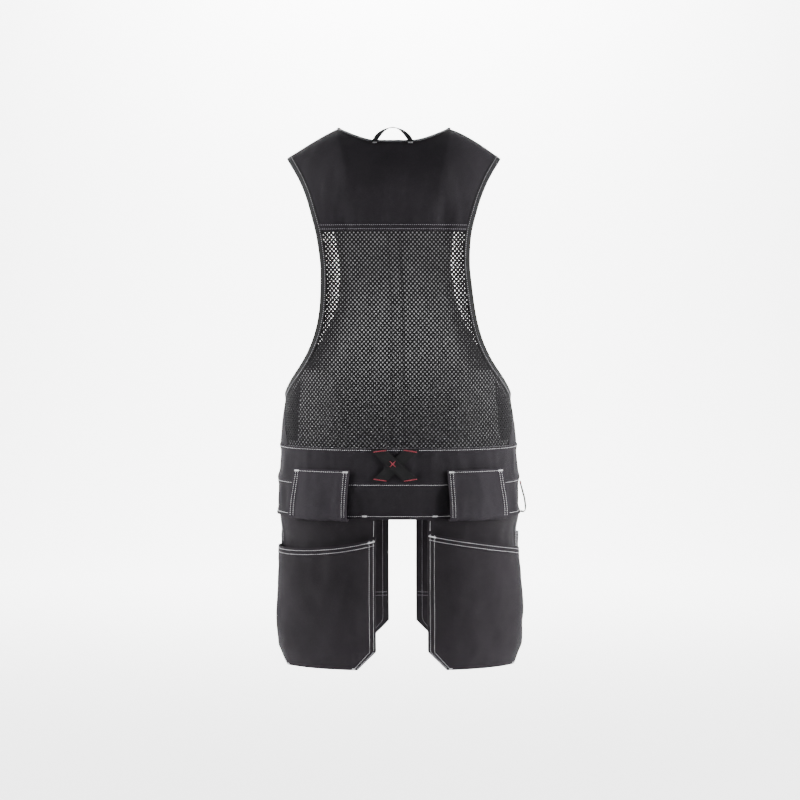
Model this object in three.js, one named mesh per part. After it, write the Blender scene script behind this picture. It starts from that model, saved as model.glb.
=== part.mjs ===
// Utility work vest seen from its back: a canvas yoke, an open net back, a double waistband with crossed webbing
// and two hammer loops, and four holster pockets that hang from the waistband.
// Millimetres, +Z up. The wearer faces +Y, so the back of the vest faces -Y and +X is on the right of that view.
// The origin is the seat on the shoulders, midway between them.
import * as THREE from 'three';

// Overall form of the worn vest
const vestWidth = 450;
const vestDepth = 290;
const bodyLength = 690;
const backPower = 2.4;
const frontPower = 2.8;

// Shoulders and neck
const shoulderWidth = 400;
const shoulderDrop = 27;
const shoulderCurve = { left: 1.15, right: 1.3 };
const neckWidth = 208;
const neckRise = 22;
const backNeckDip = 27;
const backNeckFlat = 70;
const frontNeckDip = 92;
const backRound = 130;
const frontRound = 115;

// Armholes and panels
const backNarrow = 272;
const frontNarrow = 214;
const sideSeamHeight = 92;
const sideSeamTurn = 71;
const sidePanelRise = 35;
const yokeLength = 190;

// Waistband
const bandHeight = 129;
const bandUpperHeight = 62;
const bandThickness = 2.4;

// Cloth, tape and clearances
const clothThickness = 1.5;
const netThickness = 1.2;
const seamGap = 0.3;
const layerGap = 0.7;
const tapeWidth = 9.5;
const neckTapeWidth = 5;
const tapeThickness = 3;
const zipWidth = 26;
const zipThickness = 3;

// Net gaps: columns and rows of diamonds, and the share of a cell that is open
const netColumns = 9;
const netRowsBelowUnderarm = 3;
const netRowsAboveUnderarm = 10;
const netOpenShare = 0.56;

// Crossed webbing on the waistband
const strapWidth = 29;
const strapSpread = 61;
const strapThickness = 1.4;
const strapDrift = -6;
const strapInset = 2;

// Hammer loops on the waistband
const hammerLoopWidth = 112;
const hammerLoopHeight = 89;
const hammerLoopCentre = 144;
const hammerLoopStandOff = 13;
const hammerLoopThickness = 2;

// Small tape loop at the right side seam
const sideLoopDistance = 286;
const sideLoopWidth = 20;
const sideLoopHeight = 56;
const sideLoopStandOff = 9;
const sideLoopInset = 4;

// Hanging loop at the back neck
const hangLoopTape = 9;
const hangLoopThickness = 1.6;
const hangLoopRise = 24;
const hangLoopLean = 8;
const hangLoopLeftFoot = -36;
const hangLoopRightFoot = 32;
const hangLoopTuck = 9;
const hangLoopSteps = 14;

// Holsters
const backingThickness = 2;
const pocketThickness = 1.6;
const pocketDepth = 24;
const holsterChamfer = 34;

// Levels are shares of bodyLength below the seat; half of vestWidth / 2, back and front of vestDepth / 2,
// drift of vestWidth, the small sideways lean of the hanging vest.
const bodySections = [
  { level: 0.0, half: 0.97, back: 0.84, front: 0.8, drift: -0.011 },
  { level: 0.12, half: 0.955, back: 0.885, front: 0.86, drift: -0.011 },
  { level: 0.25, half: 0.93, back: 0.915, front: 0.9, drift: -0.011 },
  { level: 0.45, half: 0.917, back: 0.92, front: 0.93, drift: 0.003 },
  { level: 0.62, half: 0.92, back: 0.935, front: 0.95, drift: 0.005 },
  { level: 0.68, half: 0.928, back: 0.94, front: 0.96, drift: 0.006 },
  { level: 0.74, half: 0.951, back: 0.95, front: 0.97, drift: 0.007 },
  { level: 0.81, half: 0.973, back: 0.965, front: 0.98, drift: 0.008 },
  { level: 0.915, half: 0.995, back: 0.985, front: 1.0, drift: 0.009 },
  { level: 1.0, half: 1.0, back: 1.0, front: 1.02, drift: 0.009 },
  { level: 1.04, half: 0.979, back: 1.0, front: 1.022, drift: 0.008 },
  { level: 1.12, half: 0.984, back: 1.005, front: 1.028, drift: 0.008 },
  { level: 1.2, half: 0.997, back: 1.01, front: 1.035, drift: 0.008 },
  { level: 1.4, half: 1.012, back: 1.02, front: 1.045, drift: 0.01 },
];

// Edge of the back and front between shoulder end and underarm. drop is the share of the armhole's depth,
// toShoulder the share from the narrowest half width out to the shoulder, toSide the share out to the side.
const backArmhole = [
  { drop: 0.0, toShoulder: 1.0, toSide: 0.0 },
  { drop: 0.086, toShoulder: 0.64, toSide: 0.0 },
  { drop: 0.156, toShoulder: 0.42, toSide: 0.0 },
  { drop: 0.222, toShoulder: 0.27, toSide: 0.0 },
  { drop: 0.32, toShoulder: 0.09, toSide: 0.0 },
  { drop: 0.45, toShoulder: 0.0, toSide: 0.0 },
  { drop: 0.587, toShoulder: 0.0, toSide: 0.05 },
  { drop: 0.653, toShoulder: 0.0, toSide: 0.1 },
  { drop: 0.719, toShoulder: 0.0, toSide: 0.185 },
  { drop: 0.785, toShoulder: 0.0, toSide: 0.32 },
  { drop: 0.853, toShoulder: 0.0, toSide: 0.52 },
  { drop: 0.923, toShoulder: 0.0, toSide: 0.79 },
  { drop: 0.964, toShoulder: 0.0, toSide: 0.92 },
  { drop: 1.0, toShoulder: 0.0, toSide: 0.985 },
];
const frontArmhole = [
  { drop: 0.0, toShoulder: 1.0, toSide: 0.0 },
  { drop: 0.086, toShoulder: 0.6, toSide: 0.0 },
  { drop: 0.156, toShoulder: 0.38, toSide: 0.0 },
  { drop: 0.222, toShoulder: 0.22, toSide: 0.0 },
  { drop: 0.32, toShoulder: 0.07, toSide: 0.0 },
  { drop: 0.45, toShoulder: 0.0, toSide: 0.0 },
  { drop: 0.587, toShoulder: 0.0, toSide: 0.05 },
  { drop: 0.653, toShoulder: 0.0, toSide: 0.13 },
  { drop: 0.719, toShoulder: 0.0, toSide: 0.25 },
  { drop: 0.785, toShoulder: 0.0, toSide: 0.41 },
  { drop: 0.853, toShoulder: 0.0, toSide: 0.59 },
  { drop: 0.923, toShoulder: 0.0, toSide: 0.8 },
  { drop: 0.964, toShoulder: 0.0, toSide: 0.915 },
  { drop: 0.985, toShoulder: 0.0, toSide: 0.965 },
  { drop: 1.0, toShoulder: 0.0, toSide: 1.0 },
];

// Soft folds of the worn cloth: across is a share of the half width, top and bottom are levels, slant the
// share of the half width gained from top to bottom, width and depth shares of vestWidth.
const folds = [
  { across: -0.72, slant: 0.02, top: 0.6, bottom: 0.84, width: 0.04, depth: -0.01 },
  { across: -0.62, slant: 0.18, top: 0.55, bottom: 0.86, width: 0.045, depth: 0.009 },
  { across: 0.52, slant: 0.12, top: 0.5, bottom: 0.84, width: 0.05, depth: 0.01 },
  { across: 0.7, slant: 0.04, top: 0.62, bottom: 0.84, width: 0.04, depth: -0.008 },
  { across: -0.34, slant: 0.0, top: 0.78, bottom: 1.06, width: 0.04, depth: 0.008 },
  { across: 0.3, slant: 0.0, top: 0.78, bottom: 1.06, width: 0.04, depth: 0.008 },
  { across: -0.46, slant: 0.04, top: 0.14, bottom: 0.28, width: 0.04, depth: -0.009 },
  { across: 0.46, slant: -0.04, top: 0.14, bottom: 0.28, width: 0.04, depth: -0.009 },
];

// Holsters, one row each. start is the distance of the inner edge from the middle along the waistband; width and
// length are real sizes; inner, middle and outer are how far the pocket's mouth lies below the waistband.
const holsters = [
  { name: 'rear_left', face: 'back', side: -1, start: 41, width: 213, length: 274, inner: 34, middle: 52, outer: 54 },
  { name: 'rear_right', face: 'back', side: 1, start: 53, width: 213, length: 274, inner: 24, middle: 44, outer: 64 },
  { name: 'front_left', face: 'front', side: -1, start: 19, width: 238, length: 262, inner: 40, middle: 48, outer: 40 },
  { name: 'front_right', face: 'front', side: 1, start: 34, width: 238, length: 262, inner: 40, middle: 48, outer: 40 },
];

const tapeReach = tapeWidth + seamGap;
const tapeTop = (clothThickness + tapeThickness) / 2;
const shoulderHalf = shoulderWidth / 2 - tapeReach;
const neckHalf = neckWidth / 2;
const zipHalf = zipWidth / 2;
const hemZ = -bodyLength;
const bandTopZ = hemZ + bandHeight;
const bandMiddleZ = bandTopZ - bandUpperHeight;
const underarmZ = bandTopZ + sideSeamHeight - tapeReach;
const armholeDepth = -shoulderDrop - underarmZ;
const yokeSeamZ = neckRise - yokeLength;
const quarterTurn = Math.PI / 2;
const halfTurn = Math.PI;

const canvas = { color: 0x3c3a3f, roughness: 0.82, metalness: 0 };
const netting = { color: 0x232225, roughness: 0.75, metalness: 0 };
const tape = { color: 0x1e1d20, roughness: 0.7, metalness: 0 };
const webbing = { color: 0x1b1b1d, roughness: 0.65, metalness: 0 };

const group = new THREE.Group();
group.name = 'utility_work_vest';

function clamp(value, low, high) {
  return Math.min(high, Math.max(low, value));
}

function lerp(a, b, share) {
  return a + (b - a) * share;
}

function span(count) {
  return Array.from({ length: count + 1 }, (_, i) => i / count);
}

// Smooth value of one column of a table, held level past both ends.
function smooth(table, key, at, column) {
  const last = table.length - 1;
  if (at <= table[0][key]) return table[0][column];
  if (at >= table[last][key]) return table[last][column];
  let i = 0;
  while (table[i + 1][key] < at) i += 1;
  const slope = (j) => {
    const a = table[Math.max(0, j - 1)];
    const b = table[Math.min(last, j + 1)];
    return (b[column] - a[column]) / (b[key] - a[key]);
  };
  const step = table[i + 1][key] - table[i][key];
  const t = (at - table[i][key]) / step;
  const a = table[i][column];
  const b = table[i + 1][column];
  const rise = t * t * (3 - 2 * t);
  const leave = t * (1 - t) * (1 - t) * step * slope(i);
  const arrive = t * t * (1 - t) * step * slope(i + 1);
  return lerp(a, b, rise) + leave - arrive;
}

function sectionAt(z) {
  const level = -z / bodyLength;
  const column = (name) => smooth(bodySections, 'level', level, name);
  return {
    half: (column('half') * vestWidth) / 2,
    back: (column('back') * vestDepth) / 2,
    front: (column('front') * vestDepth) / 2,
    drift: column('drift') * vestWidth,
  };
}

// How far the cloth stands out or in at x and z because of its folds.
function foldAt(x, z) {
  const level = -z / bodyLength;
  const { half, drift } = sectionAt(z);
  let sum = 0;
  for (const fold of folds) {
    const along = (level - fold.top) / (fold.bottom - fold.top);
    if (along <= 0 || along >= 1) continue;
    const middle = (fold.across + fold.slant * along) * half;
    const away = (x - drift - middle) / (fold.width * vestWidth);
    sum += fold.depth * vestWidth * Math.exp(-away * away) * Math.sin(halfTurn * along) ** 2;
  }
  return sum;
}

// Point of the worn form at a turn from the middle of the back (+ toward +X) and a height.
function bodyPoint(turn, z) {
  const section = sectionAt(z);
  const sin = Math.sin(turn);
  const cos = Math.cos(turn);
  const onBack = cos >= 0;
  const depth = onBack ? section.back : section.front;
  const power = onBack ? backPower : frontPower;
  const reach = (Math.abs(sin / section.half) ** power + Math.abs(cos / depth) ** power) ** (-1 / power);
  const fold = onBack ? foldAt(section.drift + reach * sin, z) * cos : 0;
  return new THREE.Vector3(section.drift + (reach + fold) * sin, -(reach + fold) * cos, z);
}

// Depth of the worn form at a sideways distance from its middle line.
function depthAt(across, z, face) {
  const section = sectionAt(z);
  const depth = face === 'back' ? section.back : section.front;
  const power = face === 'back' ? backPower : frontPower;
  const share = Math.min(1, Math.abs(across) / section.half);
  return depth * (1 - share ** power) ** (1 / power);
}

// Turns at evenly walked distances round one half of the section, for placing pieces by their real width.
const walkSteps = 180;
const walkCache = new Map();
function walk(z) {
  const key = z.toFixed(4);
  if (walkCache.has(key)) return walkCache.get(key);
  const lengths = [0];
  let before = bodyPoint(0, z);
  for (let i = 1; i <= walkSteps; i += 1) {
    const point = bodyPoint((halfTurn * i) / walkSteps, z);
    lengths.push(lengths[i - 1] + point.distanceTo(before));
    before = point;
  }
  const entry = { lengths, total: lengths[walkSteps] };
  walkCache.set(key, entry);
  return entry;
}

// Turn that lies a given distance along the section from the middle of the back or of the front.
function turnAtDistance(distance, z, face = 'back') {
  const { lengths, total } = walk(z);
  const want = clamp(face === 'back' ? Math.abs(distance) : total - Math.abs(distance), 0, total);
  let i = 1;
  while (i < walkSteps && lengths[i] < want) i += 1;
  const part = (want - lengths[i - 1]) / (lengths[i] - lengths[i - 1]);
  return ((Math.sign(distance) || 1) * halfTurn * (i - 1 + part)) / walkSteps;
}

function armholeHalf(z, face) {
  const table = face === 'back' ? backArmhole : frontArmhole;
  const narrow = (face === 'back' ? backNarrow : frontNarrow) / 2 - tapeReach;
  const drop = clamp((-shoulderDrop - z) / armholeDepth, 0, 1);
  const toShoulder = clamp(smooth(table, 'drop', drop, 'toShoulder'), 0, 1);
  const toSide = clamp(smooth(table, 'drop', drop, 'toSide'), 0, 1);
  return narrow + toShoulder * (shoulderHalf - narrow) + toSide * (sectionAt(z).half - narrow);
}

// Turn of the armhole's edge at a height, and of the two seams that run down from it beside the side panel
function armholeTurn(z, face) {
  const half = armholeHalf(z, face);
  const turn = Math.atan2(half, depthAt(half, z, face));
  return face === 'back' ? turn : halfTurn - turn;
}

function netEdgeTurn(z) {
  if (z > underarmZ) return armholeTurn(z, 'back');
  const down = (underarmZ - z) / sideSeamHeight;
  return lerp(armholeTurn(underarmZ, 'back'), THREE.MathUtils.degToRad(sideSeamTurn), down);
}

function frontEdgeTurn(z) {
  return armholeTurn(Math.max(z, underarmZ + sidePanelRise), 'front');
}

function shoulderLine(across) {
  const out = clamp((Math.abs(across) - neckHalf) / (shoulderHalf - neckHalf), 0, 1.2);
  const curve = across < 0 ? shoulderCurve.left : shoulderCurve.right;
  return neckRise - (neckRise + shoulderDrop) * out ** curve;
}

function neckLine(across, face) {
  if (face === 'back') {
    const flat = backNeckFlat / 2;
    const out = clamp((Math.abs(across) - flat) / (neckHalf - flat), 0, 1);
    return neckRise - backNeckDip * (1 - out ** 1.5);
  }
  const out = clamp(Math.abs(across) / neckHalf, 0, 1);
  return neckRise - frontNeckDip * (1 - out ** 2.6);
}

function topEdge(across, face) {
  return Math.abs(across) >= neckHalf ? shoulderLine(across) : neckLine(across, face);
}

// Point of the shoulder part of the back or front, from the yoke seam (rise 0) up to the shoulder or neck (rise 1).
// base is the point of the same column on the yoke seam's level.
function upperPoint(base, rise, face, side) {
  const sign = face === 'back' ? -1 : 1;
  const edgeZ = lerp(yokeSeamZ, -shoulderDrop, Math.sin(rise * quarterTurn));
  const spread = armholeHalf(edgeZ, face) / armholeHalf(yokeSeamZ, face);
  const topSpread = armholeHalf(-shoulderDrop, face) / armholeHalf(yokeSeamZ, face);
  const baseDrift = sectionAt(yokeSeamZ).drift;
  const keep = face === 'front' ? zipHalf + seamGap : 0;
  const baseAcross = base.x - baseDrift;
  const widen = (ratio) => side * keep + (baseAcross - side * keep) * ratio;
  const reachRatio = (ratio) => {
    const edge = armholeHalf(yokeSeamZ, face);
    return (edge * ratio - keep) / (edge - keep);
  };
  const topAcross = widen(reachRatio(topSpread));
  const across = widen(reachRatio(spread));
  const top = topEdge(topAcross, face);
  const z = lerp(yokeSeamZ, top, Math.sin(rise * quarterTurn));
  const ridge = Math.abs(topAcross) >= neckHalf ? top : neckRise;
  const round = Math.min(face === 'back' ? backRound : frontRound, ridge - yokeSeamZ);
  const under = clamp((ridge - z) / round, 0, 1);
  const roll = Math.sqrt(1 - (1 - under) ** 2);
  const lean = face === 'back' ? foldAt(across + baseDrift, z) : 0;
  const depth = (depthAt(across, z, face) + lean) * roll + seamGap / 2;
  return new THREE.Vector3(across + sectionAt(z).drift, sign * depth, z);
}

// Surfaces of the panels. across runs from -1 to 1 over the back, rise from 0 at the bottom to 1 at the top.
function netSurface(across, rise) {
  const z = lerp(bandTopZ + seamGap, yokeSeamZ - seamGap, rise);
  return bodyPoint(across * netEdgeTurn(z), z);
}

function yokeSurface(across, rise) {
  const base = bodyPoint(across * netEdgeTurn(yokeSeamZ), yokeSeamZ);
  return upperPoint(base, rise, 'back', Math.sign(across));
}

// Front panel on one side: share 0 at the zip and 1 at the outer edge. Rise 0 to 1 is the flat lower part and
// 1 to 2 the part above the yoke's level that bends over the shoulder.
function frontSurface(side, share, rise) {
  const lowerRise = Math.min(rise, 1);
  const z = lerp(bandTopZ + seamGap, yokeSeamZ, lowerRise);
  const zipAcross = zipHalf + seamGap;
  const zipTurn = halfTurn - Math.atan2(zipAcross, depthAt(zipAcross, z, 'front'));
  const turn = side * lerp(zipTurn, frontEdgeTurn(z), share);
  const base = bodyPoint(turn, z);
  return rise <= 1 ? base : upperPoint(base, rise - 1, 'front', side);
}

// Side panel: share 0 at the net's seam and 1 at the front panel's, its top edge the bottom of the armhole
function sidePanelSurface(side, share, rise) {
  const top = underarmZ + sidePanelRise * share ** 1.6;
  const z = lerp(bandTopZ + seamGap, top, rise);
  const clear = seamGap / sectionAt(z).half;
  const topTurn = share > 0 ? armholeTurn(top, 'front') : netEdgeTurn(underarmZ);
  const bottomTurn = lerp(netEdgeTurn(bandTopZ), frontEdgeTurn(bandTopZ), share);
  const seamTurn = lerp(netEdgeTurn(z), frontEdgeTurn(z), share);
  const turn = share === 0 || share === 1 ? seamTurn : lerp(bottomTurn, topTurn, rise);
  return bodyPoint(side * (turn + lerp(clear, -clear, share)), z);
}

// Point and outward normal of a surface, by small steps along it.
function frameOf(surface, u, v, outward, limits) {
  const step = 1e-3;
  const u0 = Math.max(limits.u[0], u - step);
  const u1 = Math.min(limits.u[1], u + step);
  const v0 = Math.max(limits.v[0], v - step);
  const v1 = Math.min(limits.v[1], v + step);
  const alongU = surface(u1, v).sub(surface(u0, v));
  const alongV = surface(u, v1).sub(surface(u, v0));
  const normal = alongU.cross(alongV).normalize().multiplyScalar(outward);
  return { point: surface(u, v), normal };
}

// Closed body from points and triangles that all turn the same way; they are turned to face outwards.
function geometryFrom(points, triangles) {
  const volume = triangles.reduce((sum, [a, b, c]) => {
    return sum + points[a].dot(points[b].clone().cross(points[c]));
  }, 0);
  const facing = volume > 0 ? triangles : triangles.map(([a, b, c]) => [a, c, b]);
  const geometry = new THREE.BufferGeometry();
  const flat = points.flatMap((point) => [point.x, point.y, point.z]);
  geometry.setAttribute('position', new THREE.Float32BufferAttribute(flat, 3));
  geometry.setIndex(facing.flat());
  geometry.computeVertexNormals();
  return geometry;
}

// Closed wall between two grids of points with the same rows and columns, outer face first.
function wallGeometry(outer, inner) {
  const rows = outer.length;
  const columns = outer[0].length;
  const points = [...outer.flat(), ...inner.flat()];
  const half = rows * columns;
  const at = (r, c) => r * columns + c;
  const triangles = [];
  const add = (a, b, c) => triangles.push([a, b, c]);
  for (let r = 0; r + 1 < rows; r += 1) {
    for (let c = 0; c + 1 < columns; c += 1) {
      const [a, b, d, e] = [at(r, c), at(r, c + 1), at(r + 1, c + 1), at(r + 1, c)];
      const rising = points[a].distanceTo(points[d]) <= points[b].distanceTo(points[e]);
      const pair = rising ? [[a, b, d], [a, d, e]] : [[a, b, e], [b, d, e]];
      for (const [p, q, s] of pair) {
        add(p, q, s);
        add(half + p, half + s, half + q);
      }
    }
  }
  const rim = [];
  for (let c = 0; c < columns; c += 1) rim.push(at(0, c));
  for (let r = 1; r < rows; r += 1) rim.push(at(r, columns - 1));
  for (let c = columns - 2; c >= 0; c -= 1) rim.push(at(rows - 1, c));
  for (let r = rows - 2; r > 0; r -= 1) rim.push(at(r, 0));
  rim.forEach((a, i) => {
    const b = rim[(i + 1) % rim.length];
    add(a, half + b, b);
    add(a, half + a, half + b);
  });
  return geometryFrom(points, triangles);
}

// Cloth wall over a surface. layer lifts its inner face off the surface; it may be a function of u and v.
function clothGeometry(surface, us, vs, { thickness, layer = 0, outward = 1 }) {
  const limits = { u: [us[0], us[us.length - 1]], v: [vs[0], vs[vs.length - 1]] };
  const outer = [];
  const inner = [];
  for (const v of vs) {
    const frames = us.map((u) => ({ u, ...frameOf(surface, u, v, outward, limits) }));
    const liftAt = (u) => (typeof layer === 'function' ? layer(u, v) : layer);
    inner.push(frames.map(({ u, point, normal }) => point.clone().addScaledVector(normal, liftAt(u))));
    outer.push(
      frames.map(({ u, point, normal }) => point.clone().addScaledVector(normal, liftAt(u) + thickness)),
    );
  }
  return wallGeometry(outer, inner);
}

function addPiece(name, geometry, finish) {
  const mesh = new THREE.Mesh(geometry, new THREE.MeshStandardMaterial(finish));
  mesh.name = name;
  group.add(mesh);
}

// Net back, cut through in diamonds, one to a cell of the grid
function netGeometry() {
  const us = span(netColumns).map((share) => 2 * share - 1);
  const vs = netRises;
  const netRows = vs.length - 1;
  const limits = { u: [-1, 1], v: [0, 1] };
  const points = [];
  const triangles = [];
  const cornerAt = (u, v) => {
    const { point, normal } = frameOf(netSurface, u, v, 1, limits);
    points.push(point.clone().addScaledVector(normal, netThickness), point);
    return points.length - 2;
  };
  // Tip of a diamond between four corners, at shares across and up the cell
  const tipAt = (ring, across, up) => {
    for (const layer of [0, 1]) {
      const [a, b, c, d] = ring.map((corner) => points[corner + layer]);
      points.push(a.clone().lerp(b, across).lerp(d.clone().lerp(c, across), up));
    }
    return points.length - 2;
  };
  const face = (a, b, c) => {
    triangles.push([a, b, c], [a + 1, c + 1, b + 1]);
  };
  const side = (a, b) => {
    triangles.push([a, a + 1, b + 1], [a, b + 1, b]);
  };
  const corners = vs.map((v) => us.map((u) => cornerAt(u, v)));
  const reach = netOpenShare / 2;
  for (let r = 0; r < netRows; r += 1) {
    for (let c = 0; c < netColumns; c += 1) {
      const ring = [corners[r][c], corners[r][c + 1], corners[r + 1][c + 1], corners[r + 1][c]];
      const tips = [[0, -reach], [reach, 0], [0, reach], [-reach, 0]].map(([across, up]) =>
        tipAt(ring, 0.5 + across, 0.5 + up),
      );
      for (let i = 0; i < 4; i += 1) {
        const next = (i + 1) % 4;
        face(ring[i], ring[next], tips[i]);
        face(ring[next], tips[next], tips[i]);
        side(tips[next], tips[i]);
      }
    }
  }
  for (let c = 0; c < netColumns; c += 1) {
    side(corners[0][c], corners[0][c + 1]);
    side(corners[netRows][c + 1], corners[netRows][c]);
  }
  for (let r = 0; r < netRows; r += 1) {
    side(corners[r][netColumns], corners[r + 1][netColumns]);
    side(corners[r + 1][0], corners[r][0]);
  }
  return geometryFrom(points, triangles);
}

// Tape along a cloth edge, thicker than the cloth on both faces. stations hold the edge's point, the cloth's
// outward normal and the direction from the edge into the cloth.
function tapeGeometry(stations, width, closed) {
  const bottom = tapeTop - tapeThickness;
  const section = [
    [-seamGap, bottom],
    [-seamGap, tapeTop],
    [-seamGap - width, tapeTop],
    [-seamGap - width, bottom],
  ];
  const size = section.length;
  const points = stations.flatMap(({ point, normal, inward }) =>
    section.map(([i, n]) => point.clone().addScaledVector(inward, i).addScaledVector(normal, n)),
  );
  const triangles = [];
  const count = closed ? stations.length : stations.length - 1;
  for (let s = 0; s < count; s += 1) {
    const here = s * size;
    const next = ((s + 1) % stations.length) * size;
    for (let k = 0; k < size; k += 1) {
      const l = (k + 1) % size;
      const falling = points[here + k].distanceTo(points[next + l]);
      const rising = points[here + l].distanceTo(points[next + k]);
      if (falling < rising) triangles.push([here + k, next + l, here + l], [here + k, next + k, next + l]);
      else triangles.push([here + k, next + k, here + l], [here + l, next + k, next + l]);
    }
  }
  if (!closed) {
    const end = (stations.length - 1) * size;
    triangles.push([0, 1, 2], [0, 2, 3], [end, end + 2, end + 1], [end, end + 3, end + 2]);
  }
  return geometryFrom(points, triangles);
}

// Edge point of a cloth wall, its outward normal and a point of the same wall a little inside the edge
function edgeFrame(surface, [u, v], [innerU, innerV], outward, limits) {
  return { ...frameOf(surface, u, v, outward, limits), inner: surface(innerU, innerV) };
}

// Stations of a tape along a chain of edge points: into the cloth, and square to the cloth and to the chain
function stationsFrom(frames, closed) {
  const count = frames.length;
  return frames.map(({ point, normal, inner }, i) => {
    const before = closed ? frames[(i + count - 1) % count] : frames[Math.max(0, i - 1)];
    const after = closed ? frames[(i + 1) % count] : frames[Math.min(count - 1, i + 1)];
    const along = after.point.clone().sub(before.point).normalize();
    const square = normal.clone().addScaledVector(along, -normal.dot(along)).normalize();
    const inward = along.clone().cross(square);
    inward.multiplyScalar(Math.sign(inward.dot(inner.clone().sub(point))));
    return { point, normal: square, inward };
  });
}

// Rows and columns of the panels. The underarm and the neck point each have one of their own.
const netBottomZ = bandTopZ + seamGap;
const netUnderarmRise = (underarmZ - netBottomZ) / (yokeSeamZ - seamGap - netBottomZ);
const netRises = [
  ...span(netRowsBelowUnderarm).map((share) => share * netUnderarmRise),
  ...span(netRowsAboveUnderarm)
    .slice(1)
    .map((share) => lerp(netUnderarmRise, 1, share ** 1.35)),
];
const frontSeamTopRise = (underarmZ + sidePanelRise - netBottomZ) / (yokeSeamZ - netBottomZ);
const frontRises = [
  ...span(3).map((share) => share * frontSeamTopRise),
  ...span(6)
    .slice(1)
    .map((share) => lerp(frontSeamTopRise, 1, share ** 1.3)),
  ...span(7)
    .slice(1)
    .map((share) => 1 + share),
];
const sidePanelShares = span(5);
const yokeRises = span(8);

// Share of a panel's width at which its top edge passes the neck point.
function neckShare(surface) {
  let low = 0;
  let high = 1;
  for (let i = 0; i < 40; i += 1) {
    const middle = (low + high) / 2;
    const top = surface(middle);
    const across = top.x - sectionAt(top.z).drift;
    if (Math.abs(across) < neckHalf) low = middle;
    else high = middle;
  }
  return (low + high) / 2;
}

const yokeNeckShare = neckShare((share) => yokeSurface(share, 1));
const frontNeckShare = neckShare((share) => frontSurface(1, share, 2));
const towardNeck = (count) => span(count).map((share) => Math.sin(share * quarterTurn));
const yokeHalfShares = [
  ...towardNeck(6).map((share) => share * yokeNeckShare),
  ...span(4)
    .slice(1)
    .map((share) => lerp(yokeNeckShare, 1, share)),
];
const yokeAcross = [...yokeHalfShares.slice(1).reverse().map((share) => -share), ...yokeHalfShares];
const frontShares = [
  ...towardNeck(7).map((share) => share * frontNeckShare),
  ...span(4)
    .slice(1)
    .map((share) => lerp(frontNeckShare, 1, share)),
];
const sides = [
  { name: 'left', side: -1 },
  { name: 'right', side: 1 },
];

const yokeLimits = { u: [-1, 1], v: [0, 1] };
const netLimits = { u: [-1, 1], v: [0, 1] };
const frontLimits = { u: [0, 1], v: [0, 2] };
const sidePanelLimits = { u: [0, 1], v: [0, 1] };

// Yoke, net and front panels
addPiece('back_yoke', clothGeometry(yokeSurface, yokeAcross, yokeRises, { thickness: clothThickness }), canvas);
addPiece('back_net', netGeometry(), netting);
for (const { name, side } of sides) {
  const surface = (share, rise) => frontSurface(side, share, rise);
  const geometry = clothGeometry(surface, frontShares, frontRises, { thickness: clothThickness, outward: -side });
  addPiece(`front_panel_${name}`, geometry, canvas);
  const beside = (share, rise) => sidePanelSurface(side, share, rise);
  const sideGeometry = clothGeometry(beside, sidePanelShares, span(3), { thickness: clothThickness, outward: side });
  addPiece(`side_panel_${name}`, sideGeometry, canvas);
}

// Tape round each armhole: down the back edge, through the underarm and up the front edge.
const netEdgeInset = 2 / netColumns;
const yokeEdgeInset = 1 - yokeHalfShares[yokeHalfShares.length - 2];
const frontEdgeInset = 1 - frontShares[frontShares.length - 2];
const sideEdgeInset = 1 / 3;
for (const { name, side } of sides) {
  const front = (share, rise) => frontSurface(side, share, rise);
  const beside = (share, rise) => sidePanelSurface(side, share, rise);
  const frames = [
    ...yokeRises
      .toReversed()
      .map((rise) => edgeFrame(yokeSurface, [side, rise], [side * (1 - yokeEdgeInset), rise], 1, yokeLimits)),
    ...netRises
      .filter((rise) => rise < 0.999 && rise >= netUnderarmRise - 1e-9)
      .toReversed()
      .map((rise) => edgeFrame(netSurface, [side, rise], [side * (1 - netEdgeInset), rise], 1, netLimits)),
    ...sidePanelShares
      .slice(1, -1)
      .map((share) => edgeFrame(beside, [share, 1], [share, 1 - sideEdgeInset], side, sidePanelLimits)),
    ...frontRises
      .filter((rise) => rise > frontSeamTopRise - 1e-9 && rise < 1.999)
      .map((rise) => edgeFrame(front, [1, rise], [1 - frontEdgeInset, rise], -side, frontLimits)),
  ];
  addPiece(`armhole_tape_${name}`, tapeGeometry(stationsFrom(frames, true), tapeWidth, true), tape);
}

// Tape round the neck, from one edge of the zip behind the neck to the other
function neckFrames() {
  const frontTop = (side, shares) => {
    const front = (share, rise) => frontSurface(side, share, rise);
    const inside = frontRises[frontRises.length - 2];
    return shares.map((share) => edgeFrame(front, [share, 2], [share, inside], -side, frontLimits));
  };
  const neckShares = frontShares.filter((share) => share < frontNeckShare - 1e-6);
  const behind = yokeAcross.filter((across) => Math.abs(across) < yokeNeckShare + 1e-6);
  const inside = yokeRises[yokeRises.length - 2];
  return [
    ...frontTop(1, neckShares),
    ...behind.toReversed().map((across) => edgeFrame(yokeSurface, [across, 1], [across, inside], 1, yokeLimits)),
    ...frontTop(-1, neckShares.toReversed()),
  ];
}
addPiece('neck_tape', tapeGeometry(stationsFrom(neckFrames(), false), neckTapeWidth, false), tape);

// Zip strip between the front panels, from the neck down to the hem
function zipSurface(across, rise) {
  const top = neckLine(across * zipHalf, 'front') - seamGap;
  const z = lerp(hemZ, top, rise);
  const under = clamp((neckRise - z) / frontRound, 0, 1);
  const roll = Math.sqrt(1 - (1 - under) ** 2);
  const depth = depthAt(across * zipHalf, z, 'front') * roll;
  return new THREE.Vector3(sectionAt(z).drift + across * zipHalf, depth + seamGap / 2, z);
}
const zipGeometry = clothGeometry(zipSurface, [-1, 0, 1], span(14), { thickness: zipThickness, outward: -1 });
addPiece('front_zip', zipGeometry, webbing);

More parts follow.
